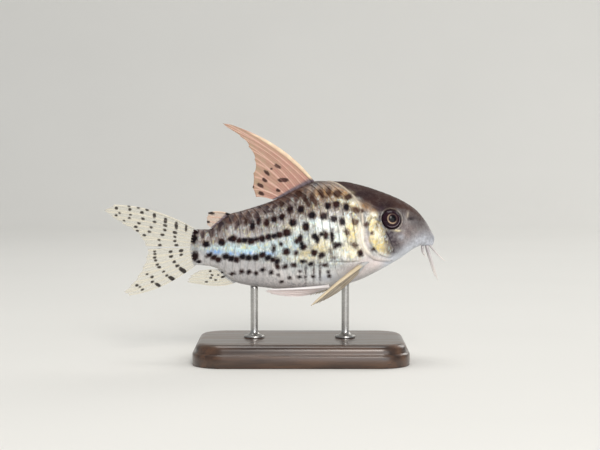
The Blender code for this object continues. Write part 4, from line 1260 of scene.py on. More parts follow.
    def spots(self, side: Array, left: Array, spots: Sequence[Spot]) -> Array:
        """Distance to the spots of each flank, the left one's moved and sized at random."""
        draw = np.random.default_rng(self.seed)
        moved = [
            Spot(
                spot.behind + self.jitter * draw.normal(),
                spot.height + 0.6 * self.jitter * draw.normal(),
                spot.half_length * draw.uniform(0.85, 1.15),
                spot.half_height * draw.uniform(0.85, 1.15),
                spot.slant,
            )
            for spot in spots
        ]
        distance = np.empty(len(side))
        distance[left] = spot_distance(side[left], moved)
        distance[~left] = spot_distance(side[~left], spots)
        return distance

    def tints(
        self, points: Array, side: Array, turn: Array, ring: Array, behind: Array
    ) -> dict[str, Array]:
        """The strength of each tint at each point.

        Args:
            points: The skin's points.
            side: Their places in the side view, in mm.
            turn: Their turns.
            ring: Each ring's plate number.
            behind: Distance behind the snout.

        Returns:
            Named values, of the grid's shape.
        """
        shape = turn.shape
        fold = folded(turn)
        b, h = side[..., 0], side[..., 1]
        seen = self.sight.on_middle_plane(points).reshape(-1, 2)
        left = (points[..., 1] > 0).reshape(-1)
        edge = self.edge(np.zeros((1, 1)), turn) / MM
        on_head = 1 - ease(-0.3, 0.2, b - edge)
        cloud = ripple(points / MM, 5.0, 21)
        fine = ripple(points / MM, 1.6, 22)

        def glow(*rows: tuple[float, ...]) -> Array:
            """Soft patches over the whole grid, from rows of place, reach and strength."""
            return glow_cover(seen, [Glow(*row) for row in rows]).reshape(shape)

        line = curve_through(
            (0.0, 2.0, 5.0, 8.0, 11.0, 13.0, 15.2, 17.3, 20.0, 24.0),
            (2.2, 4.4, 6.2, 7.3, 7.5, 8.2, 9.4, 10.8, 12.3, 13.6),
            b,
        )
        soft = 1.2 + 2.2 * (1 - ease(6.0, 10.0, b))
        crown = ease(-1, 0.6, (h - line + 0.25 * fine) / soft) * on_head * ease(0.2, 3.0, b)
        dusk = glow(
            (16.0, 11.2, 4.0, 1.6, 0.85), (11.4, 8.9, 2.6, 1.3, 0.9), (21.0, 13.2, 3.0, 0.9, 0.8),
        )
        snout = (1 - ease(8.0, 11.5, b + 0.4 * h - 1.5)) * ease(-3.0, 0.5, h)
        belly_line = self.build.outline(behind)[1] / MM
        chin = (1 - ease(0.8, 4.4, h - belly_line)) * (1 - ease(10.0, 14.0, b))
        # The first two patches are painted light on the down-facing belly. The other two are pale bluish
        # patches of the cheek.
        pale = glow(
            (24.5, -7.5, 4.0, 1.5, 0.95), (20.0, -8.0, 3.0, 1.4, 0.5), (7.5, 1.7, 0.7, 0.7, 0.65),
            (5.6, 0.8, 1.6, 0.8, 0.30),
        )
        chin = np.maximum(chin, pale)
        ridge = self.build.outline(behind)[0] / MM
        depth = curve_through(
            (20.0, 25.0, 30.0, 36.6, 42.0, 45.2, 48.5, 53.0), (2.6, 3.4, 3.2, 2.0, 2.9, 3.3, 1.5, 0.8),
            b,
        )
        strokes = ripple(points / MM * np.array([1.0, 1.0, 0.4]), 1.2, 23)
        back = ease(-0.6, 0.7, h - ridge + depth + 0.75 * strokes + 0.2 * cloud) * (1 - on_head)
        back = back * (0.78 + 0.22 * ease(27.0, 31.0, b))
        mottle = ease(-0.3, 0.6, strokes + 0.4 * cloud) * back * 0.8
        nape = glow((24.2, 11.8, 4.0, 1.7), (20.2, 11.8, 2.2, 1.0, 0.9)) * (1 - on_head)
        nape = np.maximum(nape, glow((15.6, 8.9, 2.0, 1.2, 1.0), (13.4, 8.0, 1.8, 0.7, 1.0)))
        mottle = np.maximum(mottle, glow((47.5, 4.8, 0.9, 0.9), (50.4, 3.0, 1.3, 0.6)))
        mottle = np.maximum(mottle, glow((27.5, 13.6, 3.0, 0.8, 0.9), (34.0, 11.0, 2.5, 0.6, 0.8)))
        belly = ease(0.56, 0.66, fold) * ease(16, 24, b)
        belly = np.maximum(belly, ease(30, 36, b) * ease(0.52, 0.58, fold) * 0.8)
        belly = belly * (1 - 0.55 * ease(33, 40, b))
        lilac = ease(29, 34, b) * (1 - ease(0.40, 0.48, fold + 0.02 * cloud))
        lilac = np.maximum(lilac, 0.6 * ease(49, 52, b))
        lilac = np.maximum(lilac, 0.75 * ease(31, 38, b) * ease(0.54, 0.60, fold))
        upper = ease(5.2, 7.6, h + 0.5 * cloud) * (1 - on_head) * (1 - back)
        upper = np.maximum(upper, 0.8 * ease(31, 37, b) * ease(2.2, 4.0, h + 0.4 * cloud) * (1 - back))
        upper = np.maximum(upper, 0.8 * ease(45.5, 48, b) * ease(-0.6, 1.0, h + 0.4 * cloud))
        upper = np.maximum(upper, glow((22.6, 7.3, 1.6, 0.8, 0.55)))
        upper = upper * (1 - glow((18.4, 9.4, 1.8, 1.2, 0.9), (21.5, 9.8, 1.2, 0.6, 0.9)))
        blue = glow(
            (47.5, -0.9, 4.0, 1.2, 0.45), (42.0, -1.2, 6.0, 1.4, 0.95), (35.5, -0.4, 3.0, 1.6, 0.5),
            (32.0, 0.6, 2.4, 2.4, 0.6), (22.0, 0.8, 0.8, 1.4, 0.8), (24.6, 4.3, 1.4, 1.0, 0.5),
            (20.0, 6.8, 2.4, 0.8, 0.6), (26.5, 5.0, 2.2, 0.9, 0.5), (37.0, 4.0, 4.0, 0.6, 0.35),
        )
        azure = glow(
            (49.3, -1.7, 1.5, 0.55, 0.95), (45.0, -2.1, 1.8, 0.5, 0.8), (41.0, -2.0, 2.0, 0.45, 0.55),
            (37.4, -2.1, 1.4, 0.5, 0.65), (31.2, -1.2, 0.5, 0.6, 0.3),
        )
        gill = np.zeros(shape)
        near = (b < 18.5) & (b > 7)
        away = polygon_distance(side[near], smoothed(np.array(self.gill_cover)))
        gill[near] = 1 - ease(-0.6, 0.3, away + 0.35 * fine[near])
        opening = np.full(shape, 5.0)
        opening[near] = self.line_distance(side[near], self.gill_opening)
        gold = np.maximum(
            0.95 * gill,
            glow(
                (8.3, 3.15, 1.1, 0.35, 1.0), (13.5, 6.7, 0.9, 0.9, 0.95), (14.7, 5.6, 0.6, 1.0, 0.7),
                (18.6, 3.2, 1.9, 3.2, 0.8), (18.4, -1.6, 2.6, 1.6, 0.75), (18.3, 8.6, 1.6, 1.6, 0.9),
                (21.0, 10.0, 1.8, 0.9, 0.9), (19.0, 11.6, 2.2, 0.7, 0.8), (26.9, 8.2, 1.6, 1.1, 0.65),
                (29.6, 8.6, 0.9, 1.8, 0.65), (32.6, 3.8, 1.3, 1.0, 0.55), (25.4, -0.4, 2.4, 2.2, 0.6),
                (29.0, -2.4, 2.4, 1.4, 0.55), (25.0, 12.4, 1.8, 0.8, 0.5),
            ),
        )
        scatter = (1 - on_head) * ease(0.0, 0.9, fine) * (1 - ease(0.5, 0.6, fold)) * (1 - back)
        gold = np.maximum(gold * (1 - 0.3 * back), 0.18 * scatter)
        strip = glow((8.3, 3.15, 1.1, 0.30))
        # Painted light: white patches for the highlights of the shoulder, gill cover and flank, and a broad
        # patch that lightens the down-facing belly.
        bright = glow(
            (24.6, 4.3, 2.0, 1.3, 0.45), (24.0, 1.0, 2.4, 1.6, 0.45), (19.8, -1.4, 2.6, 1.2, 0.6),
            (20.6, 3.4, 1.0, 2.2, 0.4), (17.9, 9.4, 1.0, 0.7, 0.95), (20.4, 10.0, 1.5, 0.45, 0.7),
            (12.7, 2.1, 1.0, 1.0, 0.95), (11.6, 1.4, 0.7, 0.7, 0.75), (13.6, 3.6, 0.5, 0.7, 0.6),
            (12.2, -2.0, 1.0, 0.35, 0.9), (10.9, -2.4, 0.8, 0.4, 0.9), (10.9, -0.3, 0.5, 0.5, 0.6),
            (13.6, 6.8, 0.6, 0.6, 0.85), (30.4, -3.2, 2.0, 1.0, 0.4), (30.2, 3.2, 1.3, 1.2, 0.5),
            (23.5, -7.6, 4.5, 1.7, 1.0), (8.2, 3.15, 0.5, 0.2, 0.6),
        )
        pink = glow(
            (12.8, -4.2, 3.6, 1.9, 0.9), (17.0, -5.6, 3.0, 2.2, 0.7), (15.2, 0.0, 0.8, 3.0, 0.75),
            (19.5, -7.5, 3.5, 2.0, 0.5),
        )
        pink = np.maximum(pink, 0.7 * self.mouth(self.build.skin(behind, turn))[0])
        shade = glow(
            (10.0, 2.5, 1.9, 1.5, 1.0), (10.4, 1.4, 1.0, 1.2, 1.0), (8.8, 0.5, 1.2, 1.1, 0.95),
            (4.2, 4.9, 1.2, 1.0, 0.45), (6.4, 3.6, 0.9, 0.7, 0.30), (5.6, 2.6, 0.5, 0.4, 0.30),
            (9.5, -1.5, 1.4, 0.9, 0.9), (10.3, 0.6, 0.7, 1.6, 0.6), (7.9, -0.8, 1.0, 0.8, 0.45),
            (9.8, 3.3, 2.6, 0.5, 0.55), (12.8, 4.4, 1.0, 0.9, 0.85), (12.2, 6.3, 0.55, 1.7, 0.95),
            (11.9, 7.9, 1.0, 0.5, 0.9), (12.8, 8.3, 1.4, 0.5, 0.5), (15.3, 4.5, 0.4, 0.5, 0.7),
            (14.2, 2.5, 0.3, 0.3, 0.5), (12.9, 0.9, 0.4, 0.8, 0.35), (14.9, -0.6, 0.5, 0.7, 0.4),
            (5.2, 6.0, 0.9, 0.4, 0.7), (7.4, 5.6, 0.5, 1.8, 0.35),
        )
        draw = np.random.default_rng(self.seed + 1)
        rows = draw.uniform(0, 1, (2, 2, self.build.plates + 2))
        whole = np.clip(np.floor(ring), -1, self.build.plates).astype(int)[:, None] + 1
        lower = (fold > self.build.mid_turn).astype(int)
        tone = rows[(turn > 1).astype(int), lower, whole] * (1 - on_head)
        flank = (1 - on_head) * (1 - ease(0.50, 0.62, fold)) * (1 - back) + 0.8 * gill
        cream = bump(opening, 0.30, 0.70) * ease(-2.0, -0.8, h) * (1 - ease(3.8, 5.4, h))
        shade = np.maximum(shade, 0.4 * bump(opening, -0.55, 0.30) * ease(-2.5, -1.0, h))
        sheen = (0.45 - 0.20 * ease(0.60, 0.75, fold)) * (1 - 0.75 * crown) * (1 - 0.5 * back)
        dorsal_cover = ease(0.90, 0.82, fold)
        spots = self.spots(seen, left, self.marks.dark()).reshape(shape)
        faint = self.spots(seen, left, self.marks.brown()).reshape(shape)
        hidden = 2 * (1 - dorsal_cover)
        return {
            "tone": 0.5 * tone,
            "upper": upper,
            "back": back,
            "nape": nape,
            "mottle": mottle,
            "belly": belly,
            "lilac": lilac,
            "blue": blue,
            "azure": azure,
            "gold": gold,
            "bright": bright,
            "pink": pink,
            "crown": crown,
            "dusk": dusk * crown,
            "cream": cream,
            "snout": snout * (1 - crown) * (1 - strip),
            "chin": chin,
            "shade": shade * (1 - strip),
            "pepper": 0.22 * on_head * (1 - crown) * ease(-2.5, 1.5, h) * (1 - strip) * (1 - gill),
            "sheen": np.clip(sheen, 0, 1),
            "glints": np.clip(flank * (0.35 + 0.65 * np.maximum(bright, blue)), 0, 1),
            "spots": spots + hidden,
            "faint": faint + hidden,
        }


@dataclass
class Eyes:
    """Two eyeballs, flatter than spheres: a circle carried along the eye's own axis."""

    build: Build
    finish: EyeFinish
    radius: float = 2.2 * MM
    depth: float = 1.62 * MM
    rings: int = 44
    around: int = 72
    pole: float = 0.015

    def build_pieces(self) -> None:
        """Makes both eyes."""
        material = self.finish.material()
        for side, word in ((LEFT, "left"), (RIGHT, "right")):
            middle, axes = self.build.eye_frame(side)
            polar = np.linspace(self.pole, math.pi - self.pole, self.rings)[:, None]
            clock = np.linspace(0, 2 * math.pi, self.around, endpoint=False)[None]
            across = np.sin(polar) * self.radius
            local = np.stack(
                np.broadcast_arrays(
                    np.cos(polar) * self.depth, across * np.cos(clock), across * np.sin(clock)
                ),
                -1,
            )
            ahead = -side * np.cos(clock)
            values = {
                "radial": across / MM + 0 * clock,
                "broken": 0.12 + 0.88 * ease(-0.6, 0.6, -0.8 * ahead - 0.6 * np.sin(clock)) + 0 * polar,
                "lower": ease(0.1, 0.8, 0.6 * ahead - 0.8 * np.sin(clock)) + 0 * polar,
            }
            surface = Surface.tube(local @ axes.T + middle + self.build.place, values)
            surface.piece(f"eyeball_{word}", material, "eye", f"eye_{word}")


class Barbel(NamedTuple):
    """A feeler: its place round the lips in degrees, a bend and a tip in mm, its width."""

    name: str
    place: float
    bend: tuple[float, float, float]
    tip: tuple[float, float, float]
    width: float


@dataclass
class Barbels:
    """Feelers: a circle that narrows towards the tip, carried along a smooth path."""

    build: Build
    finish: BarbelFinish
    shapes: tuple[Barbel, ...] = (
        Barbel("barbel_long", 92, (0.85, 3.1, -3.4), (-0.55, 3.3, -7.7), 0.60),
        Barbel("barbel_front", 132, (-0.6, 2.9, -2.1), (-2.2, 3.7, -3.5), 0.44),
        Barbel("barbel_chin", 40, (2.6, 1.45, -1.7), (1.9, 1.7, -2.8), 0.42),
    )
    tip_width: float = 0.12
    lip: float = 0.25 * MM
    steps: int = 48
    around: int = 16

    def build_pieces(self) -> None:
        """Makes the feelers of both sides."""
        material = self.finish.material()
        for side, word in ((LEFT, "left"), (RIGHT, "right")):
            mirror = np.array([-1, side, 1])
            for shape in self.shapes:
                known = np.array(
                    [
                        self.root(shape.place, side),
                        np.array(shape.bend) * MM * mirror,
                        np.array(shape.tip) * MM * mirror,
                    ]
                )
                share = np.linspace(0, 1, self.steps)
                run = np.concatenate([[0], np.cumsum(np.linalg.norm(np.diff(known, axis=0), axis=1))])
                path = np.stack(
                    [curve_through(run, known[:, k], share * run[-1]) for k in range(3)], -1
                )
                width = shape.width * (1 - share) ** 0.7 + self.tip_width * share**0.7
                width = width * (1 + 0.05 * np.sin(share * 40)) * (1 - 0.7 * ease(0.94, 1.0, share))
                rings = carried(path, width * MM / 2, self.around)
                along = np.broadcast_to(share[:, None], rings.shape[:2])
                surface = Surface.tube(rings + self.build.place, {"along": along})
                name = f"{shape.name}_{word}"
                surface.piece(f"feeler_{name[7:]}", material, "barbel", name)

    def root(self, degrees: float, side: int) -> Array:
        """A point inside the lips at a place round them."""
        down, back = self.build.mouth_ways()
        out = np.array([0.0, side, 0.0]) * math.sin(math.radians(degrees))
        ring = out * self.build.mouth_half_width
        ring = ring + back * math.cos(math.radians(degrees)) * self.build.mouth_half_length
        out = out + back * math.cos(math.radians(degrees))
        middle = np.array([-self.build.mouth_behind, 0, self.build.mouth_height])
        return middle + ring + (out + down) / math.sqrt(2) * self.lip


def carried(path: Array, radii: Array, around: int) -> Array:
    """Rings of a circle carried along a path, square to it.

    Args:
        path: Points of shape (steps, 3).
        radii: The circle's radius at each.
        around: Points round the circle.

    Returns:
        Points of shape (steps, around, 3).
    """
    tangent = np.gradient(path, axis=0)
    tangent /= np.linalg.norm(tangent, axis=1, keepdims=True)
    least = np.eye(3)[int(np.argmin(np.ptp(path, axis=0)))]
    first = np.cross(tangent, least)
    first /= np.linalg.norm(first, axis=1, keepdims=True)
    second = np.cross(tangent, first)
    angle = np.linspace(0, 2 * np.pi, around, endpoint=False)[None, :, None]
    circle = np.cos(angle) * first[:, None] + np.sin(angle) * second[:, None]
    return path[:, None] + circle * radii[:, None, None]


@dataclass
class Fin:
    """A fin: lines from root to tip, each bent sideways by its bow, with rays raised on it.

    Across the fin the place runs from 0 at the leading ray to 1 at the last one. Each ray is
    a bell across, and forks into two towards the margin. The membrane's margin is drawn in
    between the rays.
    """

    name: str
    node: str
    slot: str
    finish: bpy.types.Material
    roots: Array
    tips: Array
    bows: Array
    rays: int
    spots: tuple[Spot, ...] = ()
    rows: int = 64
    columns_each: int = 14
    membrane: float = 0.06 * MM
    ray_half: float = 0.13 * MM
    spine_half: float = 0.34 * MM
    fork: float = 0.5
    scallop: float = 0.05
    sink: float = 0.06
    base_cover: float = 0.10
    ray_width: float = 0.11
    weak_rays: float = 0.0
    spine_reach: float = 0.22
    spine_end: float = 1.3
    fine_rays: float = 0.22
    fine_width: float = 0.25
    fork_spread: float = 0.20
    ray_narrowing: float = 0.45
    spine_taper: float = 0.72
    ray_taper: float = 0.6
    tip_taper: float = 0.6
    tip_start: float = 0.90
    joint_rings: float = 90
    joint_depth: float = 0.05

    def line(self, known: Array, places: Array) -> Array:
        """A smooth line through points spread evenly across the fin."""
        run = np.linspace(0, 1, len(known))
        return np.stack([curve_through(run, known[:, k], places) for k in range(3)], -1)

    def middle(self, places: Array, out: Array) -> Array:
        """Root + (tip - root) * out + bow * 4 out (1 - out), for grids of places and outs."""
        root, tip = self.line(self.roots, places), self.line(self.tips, places)
        bow = self.line(self.bows, places)
        far = out[..., None]
        return root * (1 - far) + tip * far + 4 * far * (1 - far) * bow

    def build_piece(self, place: Array) -> None:
        """Makes the fin and dresses it.

        Args:
            place: Where the fish's own frame lies.
        """
        count = (self.rays - 1) * self.columns_each + 1
        across = np.linspace(0, 1, count)[None]
        gap = across * (self.rays - 1)
        margin = 1 - self.scallop * np.abs(np.sin(np.pi * gap)) ** 0.7
        rows = np.linspace(-self.sink, 1, self.rows)[:, None]
        out = np.where(rows > 0, rows * margin, rows + 0 * margin)
        places = np.broadcast_to(across, out.shape)
        middle = self.middle(places, out)
        spread = self.fork_spread * ease(self.fork, 1.0, out)
        width = self.ray_width * (1 - self.ray_narrowing * ease(0.2, 1.0, out))
        nearest = np.round(gap)
        off = np.abs(gap - nearest)
        ray = np.exp(-(((off - spread) / width) ** 2))
        thirds = np.abs(3 * gap - np.round(3 * gap))
        ray = np.maximum(ray, self.fine_rays * np.exp(-((thirds / self.fine_width) ** 2)))
        spine = np.exp(-((gap / self.spine_reach) ** 6)) + 0 * out
        lead = gap < self.spine_reach
        thick = self.spine_half * (1 - self.spine_taper * out)
        thin = np.where(lead, thick, self.ray_half * (1 - self.ray_taper * out))
        ray = np.maximum(spine, np.where(lead, 0, ray))
        tip = 1 - self.tip_taper * ease(self.tip_start, 1.0, out)
        half = (self.membrane + thin * ray) * tip
        joints = 1 - self.joint_depth + self.joint_depth * np.cos(out * self.joint_rings)
        joints = joints * (1 - self.weak_rays * (nearest % 2))
        side = np.stack([-middle[..., 0] / MM, middle[..., 2] / MM], -1).reshape(-1, 2)
        dots = spot_distance(side, self.spots).reshape(out.shape)
        along_spine = out + 0.1 * gap / self.spine_reach
        values = {
            "ray": np.clip(ray * joints, 0, 1),
            "spine": spine * (1 - ease(self.spine_end - 0.1, self.spine_end, along_spine)),
            "outer": np.clip(out, 0, 1),
            "dots": dots,
            "near_body": 1 - ease(0.0, self.base_cover, out),
        }
        surface = Surface.plate(middle + place, half, values)
        surface.piece(self.name, self.finish, self.slot, self.node)


def in_side_view(*points: tuple[float, float]) -> Array:
    """Points of the middle plane, from mm behind the snout and mm above the axis."""
    return np.array([(-behind, 0.0, height) for behind, height in points]) * MM


@dataclass
class Fins:
    """All the fins, with their shapes, colours and dots."""

    build: Build
    effects: Effects
    gap: float = 0.3 * MM
    half_plate: float = 0.25 * MM
    ridge_roots: int = 7
    tail_middle: tuple[float, float] = (53.4, -0.5)
    tail_bars: tuple[Spot, ...] = spots_at(
        (55.8, 3.7, 0.30, 0.85), (58.0, 4.3, 0.40, 0.92), (60.4, 5.4, 0.44, 0.68),
        (62.9, 6.5, 0.40, 0.60), (65.7, 7.2, 0.42, 0.36), (68.4, 7.9, 0.38, 0.34),
        (71.4, 8.2, 0.40, 0.36), (56.6, -5.8, 1.00, 0.50, 0.63), (59.1, -7.6, 0.85, 0.45, 0.5),
        (62.2, -9.1, 0.78, 0.38, 0.55), (63.8, -10.6, 0.75, 0.10, -0.2),
    )
    tail_dots: tuple[tuple[float, float], ...] = (
        *((58.3, 2.7), (58.3, 1.75), (58.3, 0.8), (58.0, -0.2), (56.9, -1.4), (56.9, -2.3)),
        *((59.3, -1.6), (59.2, -2.7), (58.5, -3.9), (57.8, -4.8)),
        *((60.5, 4.3), (60.6, 3.3), (61.1, 2.2), (61.9, 1.05), (61.7, -0.15), (61.9, -0.65)),
        *((62.9, -1.55), (62.8, -2.15), (62.9, -2.9), (62.7, -3.6), (62.3, -4.5), (61.9, -5.1)),
        *((60.9, -6.1), (60.2, -7.0), (62.9, 5.1), (63.6, 3.9), (64.0, 2.9), (65.2, 2.1)),
        *((64.6, -6.7), (63.5, -7.3), (63.4, -8.4), (65.5, 5.8), (66.4, 4.8), (67.1, 4.0)),
        *((66.7, 3.1), (66.9, -9.2), (66.3, -9.6), (65.7, -10.2), (66.5, 8.3), (64.5, 7.8)),
        *((68.6, 8.7), (68.2, 6.7), (68.5, 6.0), (69.7, 5.4), (70.7, 7.1), (71.5, 6.6)),
    )
    dorsal_spots: tuple[Spot, ...] = spots_at(
        (35.2, 17.6, 0.82, 0.38, 0.55), (37.6, 16.1, 0.80, 0.36, 0.75), (38.1, 14.5, 0.72, 0.38, 0.6),
        (39.1, 13.3, 0.80, 0.42, 0.5), (38.9, 11.5, 0.72, 0.40, 0.4), (34.0, 14.5, 1.20, 0.50, 0.0),
        (35.1, 12.2, 0.52, 0.38, 0.3), (36.6, 17.0, 0.28, 0.24), (40.7, 15.1, 0.24, 0.30),
        (40.7, 13.0, 0.26, 0.26),
    )
    anal_spots: tuple[Spot, ...] = spots_at(
        (50.0, -6.9, 0.32, 0.24, 0.3), (50.3, -7.5, 0.34, 0.24), (49.2, -8.0, 0.34, 0.22),
        (51.3, -8.4, 0.36, 0.2), (47.5, -7.3, 0.5, 0.28, -0.3), (50.4, -6.0, 0.3, 0.24),
        (47.7, -6.3, 0.3, 0.24), (48.6, -6.9, 0.28, 0.2),
    )
    adipose_spots: tuple[Spot, ...] = spots_at(
        (50.2, 7.1, 0.85, 0.34, 0.15), (46.4, 6.95, 0.55, 0.35), (50.8, 5.1, 0.36, 0.3),
    )

    def finishes(self) -> dict[str, bpy.types.Material]:
        """The material of each kind of fin, by its membrane, rays, root, margin and spine."""
        cream = (0.84, 0.77, 0.62)
        peach = (0.72, 0.46, 0.35)
        white = (0.90, 0.85, 0.84)
        dark = (0.13, 0.09, 0.11)
        horn = (0.56, 0.46, 0.32)
        silver = (0.52, 0.52, 0.52)
        kinds = {
            "dorsal": FinFinish(
                self.effects, "fin_dorsal", (0.50, 0.19, 0.14), (0.66, 0.40, 0.31), dark, 0.68,
                dot=(0.030, 0.008, 0.007), edge=(0.44, 0.30, 0.17), spine=(0.95, 0.76, 0.52),
            ),
            "adipose": FinFinish(
                self.effects, "fin_adipose", (0.62, 0.44, 0.34), peach, dark, 0.42,
                edge=(0.62, 0.50, 0.38), spine=(0.82, 0.66, 0.50),
            ),
            "anal": FinFinish(
                self.effects, "fin_anal", (0.66, 0.62, 0.50), cream, silver,
            ),
            "tail": FinFinish(
                self.effects, "fin_tail", (0.64, 0.60, 0.48), cream, silver, 0.22, 0.72,
                edge=(0.66, 0.62, 0.50), spine=(0.80, 0.76, 0.64),
            ),
            "pectoral": FinFinish(
                self.effects, "fin_pectoral", (0.27, 0.22, 0.16), horn, silver, 0.52, 0.88,
                edge=(0.36, 0.30, 0.22), spine=(0.78, 0.64, 0.43),
            ),
            "pelvic": FinFinish(
                self.effects, "fin_pelvic", (0.94, 0.76, 0.72), white, white, 0.75,
                edge=(0.94, 0.80, 0.78), spine=(0.96, 0.92, 0.92),
            ),
        }
        return {kind: finish.material() for kind, finish in kinds.items()}

    def on_ridge(self, start: float, end: float, row: int, lift: float) -> Array:
        """Points along the back (row 0) or the belly (row 1), lifted off it."""
        behind = np.linspace(start, end, self.ridge_roots) * MM
        height = self.build.outline(behind)[row] + lift
        return np.stack([-behind, 0 * behind, height], -1)

    def median(self, finish: dict[str, bpy.types.Material]) -> list[Fin]:
        """The fins on the middle plane.

        Args:
            finish: The material of each kind of fin.

        Returns:
            The dorsal, adipose and anal fin and both lobes of the tail fin.
        """
        upper_tips = (
            (72.0, 9.0), (74.2, 7.7), (72.2, 6.0), (70.0, 4.6), (67.7, 3.3), (66.0, 1.6), (64.9, -0.45),
        )
        lower_tips = (
            (68.8, -11.5), (69.9, -10.7), (68.2, -9.0), (66.7, -7.0), (65.6, -5.0), (64.8, -2.9),
            (64.5, -0.95),
        )
        dorsal_tips = (
            (41.6, 25.4), (47.0, 27.5), (47.6, 27.0), (44.4, 24.9), (42.9, 23.6), (41.9, 22.2),
            (41.0, 20.6), (40.4, 18.9), (40.5, 17.1), (40.8, 15.2), (40.9, 13.3), (40.6, 11.9),
            (40.1, 10.7),
        )
        dorsal = Fin(
            "fin_dorsal", "dorsal_fin", "dorsal_fin", finish["dorsal"],
            self.on_ridge(27.2, 36.4, 0, self.gap), in_side_view(*dorsal_tips),
            in_side_view((-1.0, 0.75), (-0.8, 0.7), (-0.3, 0.5), (0.0, 0.3), (0.2, 0.2)), 8,
            self.dorsal_spots, rows=96, columns_each=20, spine_half=0.42 * MM, spine_reach=0.42,
            spine_end=0.95, ray_width=0.15, base_cover=0.05,
        )
        adipose = Fin(
            "fin_adipose", "adipose_fin", "dorsal_fin", finish["adipose"],
            self.on_ridge(46.2, 50.2, 0, self.gap), in_side_view((50.9, 7.2), (51.2, 5.6), (51.1, 4.6)),
            in_side_view((0.0, 0.35), (0.0, 0.1), (0.0, 0.0)), 4, self.adipose_spots, rows=40, sink=0.25,
            base_cover=0.18,
        )
        anal = Fin(
            "fin_anal", "anal_fin", "fin", finish["anal"], self.on_ridge(44.9, 49.0, 1, -self.gap),
            in_side_view((52.5, -9.0), (55.8, -8.4), (54.9, -7.0), (53.0, -5.9)),
            in_side_view((-0.5, -0.5), (-0.4, -0.2), (0.0, 0.1)), 7, self.anal_spots, sink=0.14,
        )
        upper = Fin(
            "fin_tail_upper", "tail_fin_upper", "fin", finish["tail"],
            in_side_view((53.4, 3.3), (53.7, 1.4), (53.7, -0.4)), in_side_view(*upper_tips),
            in_side_view((0.0, 1.35), (0.0, 0.8), (0.0, 0.3), (0.0, 0.0)), 7, rows=110,
        )
        lower = Fin(
            "fin_tail_lower", "tail_fin_lower", "fin", finish["tail"],
            in_side_view((53.4, -4.5), (53.7, -2.6), (53.7, -0.7)), in_side_view(*lower_tips),
            in_side_view((0.0, -1.3), (0.0, -0.6), (0.0, -0.2), (0.0, 0.0)), 7, rows=100,
        )
        for lobe in (upper, lower):
            lobe.spots = self.tail_bars + self.tail_spots()
            lobe.base_cover = 0.07
            lobe.scallop = 0.03
        return [dorsal, adipose, anal, upper, lower]

    def tail_spots(self) -> tuple[Spot, ...]:
        """The tail's dots, each turned half way to the line from the tail's root to it."""
        draw = np.random.default_rng(len(self.tail_dots))
        dots = []
        for behind, height in self.tail_dots:
            away = (behind - self.tail_middle[0], height - self.tail_middle[1])
            size = draw.uniform(0.85, 1.15) * (1 - 0.018 * away[0])
            slant = 0.5 * math.atan2(away[1], away[0])
            dots.append(Spot(behind, height, 0.50 * size, 0.34 * size, slant))
        return tuple(dots)

    def paired(self, finish: dict[str, bpy.types.Material], side: int, word: str) -> list[Fin]:
        """The pectoral and pelvic fin of one side.

        Args:
            finish: The material of each kind of fin.
            side: Which side it is, as the sign of y.
            word: The side's name.

        Returns:
            Both fins.
        """
        mirror = np.array([1, side, 1])
        off = self.gap + self.half_plate

        def roots(*places: tuple[float, float]) -> Array:
            """Points just off the skin."""
            return np.array([self.build.on_skin(b * MM, h * MM, side, off) for b, h in places])

        def at(*points: tuple[float, float, float]) -> Array:
            """Points of this side, from mm."""
            return np.array(points) * MM * mirror

        pectoral = Fin(
            f"fin_pectoral_{word}", f"pectoral_fin_{word}", "pectoral_fin", finish["pectoral"],
            roots((16.4, -3.6), (16.9, -4.5), (17.2, -5.3)),
            at((-27.8, 11.2, -12.6), (-26.5, 9.6, -12.3), (-24.6, 8.3, -11.6), (-22.4, 7.4, -10.4)),
            at((0.4, 0.9, 0.7), (0.2, 0.8, 0.2), (0.0, 0.5, -0.2)), 8, spine_half=0.5 * MM, sink=0.10,
            ray_width=0.30, weak_rays=0.7, spine_reach=0.5,
        )
        pelvic = Fin(
            f"fin_pelvic_{word}", f"pelvic_fin_{word}", "fin", finish["pelvic"],
            roots((24.6, -8.5), (25.6, -9.2), (26.7, -9.8)),
            at((-37.2, 6.7, -9.5), (-38.0, 6.2, -9.9), (-36.2, 5.9, -10.6), (-33.6, 5.7, -11.0)),
            at((0.3, 0.8, 0.0), (0.2, 0.6, -0.3), (0.0, 0.4, -0.4)), 6, spine_half=0.3 * MM, sink=0.08,
            ray_width=0.18, spine_reach=0.4,
        )
        return [pectoral, pelvic]

    def build_pieces(self) -> None:
        """Makes every fin."""
        finish = self.finishes()
        fins = self.median(finish)
        fins += self.paired(finish, LEFT, "left") + self.paired(finish, RIGHT, "right")
        for fin in fins:
            fin.build_piece(self.build.place)


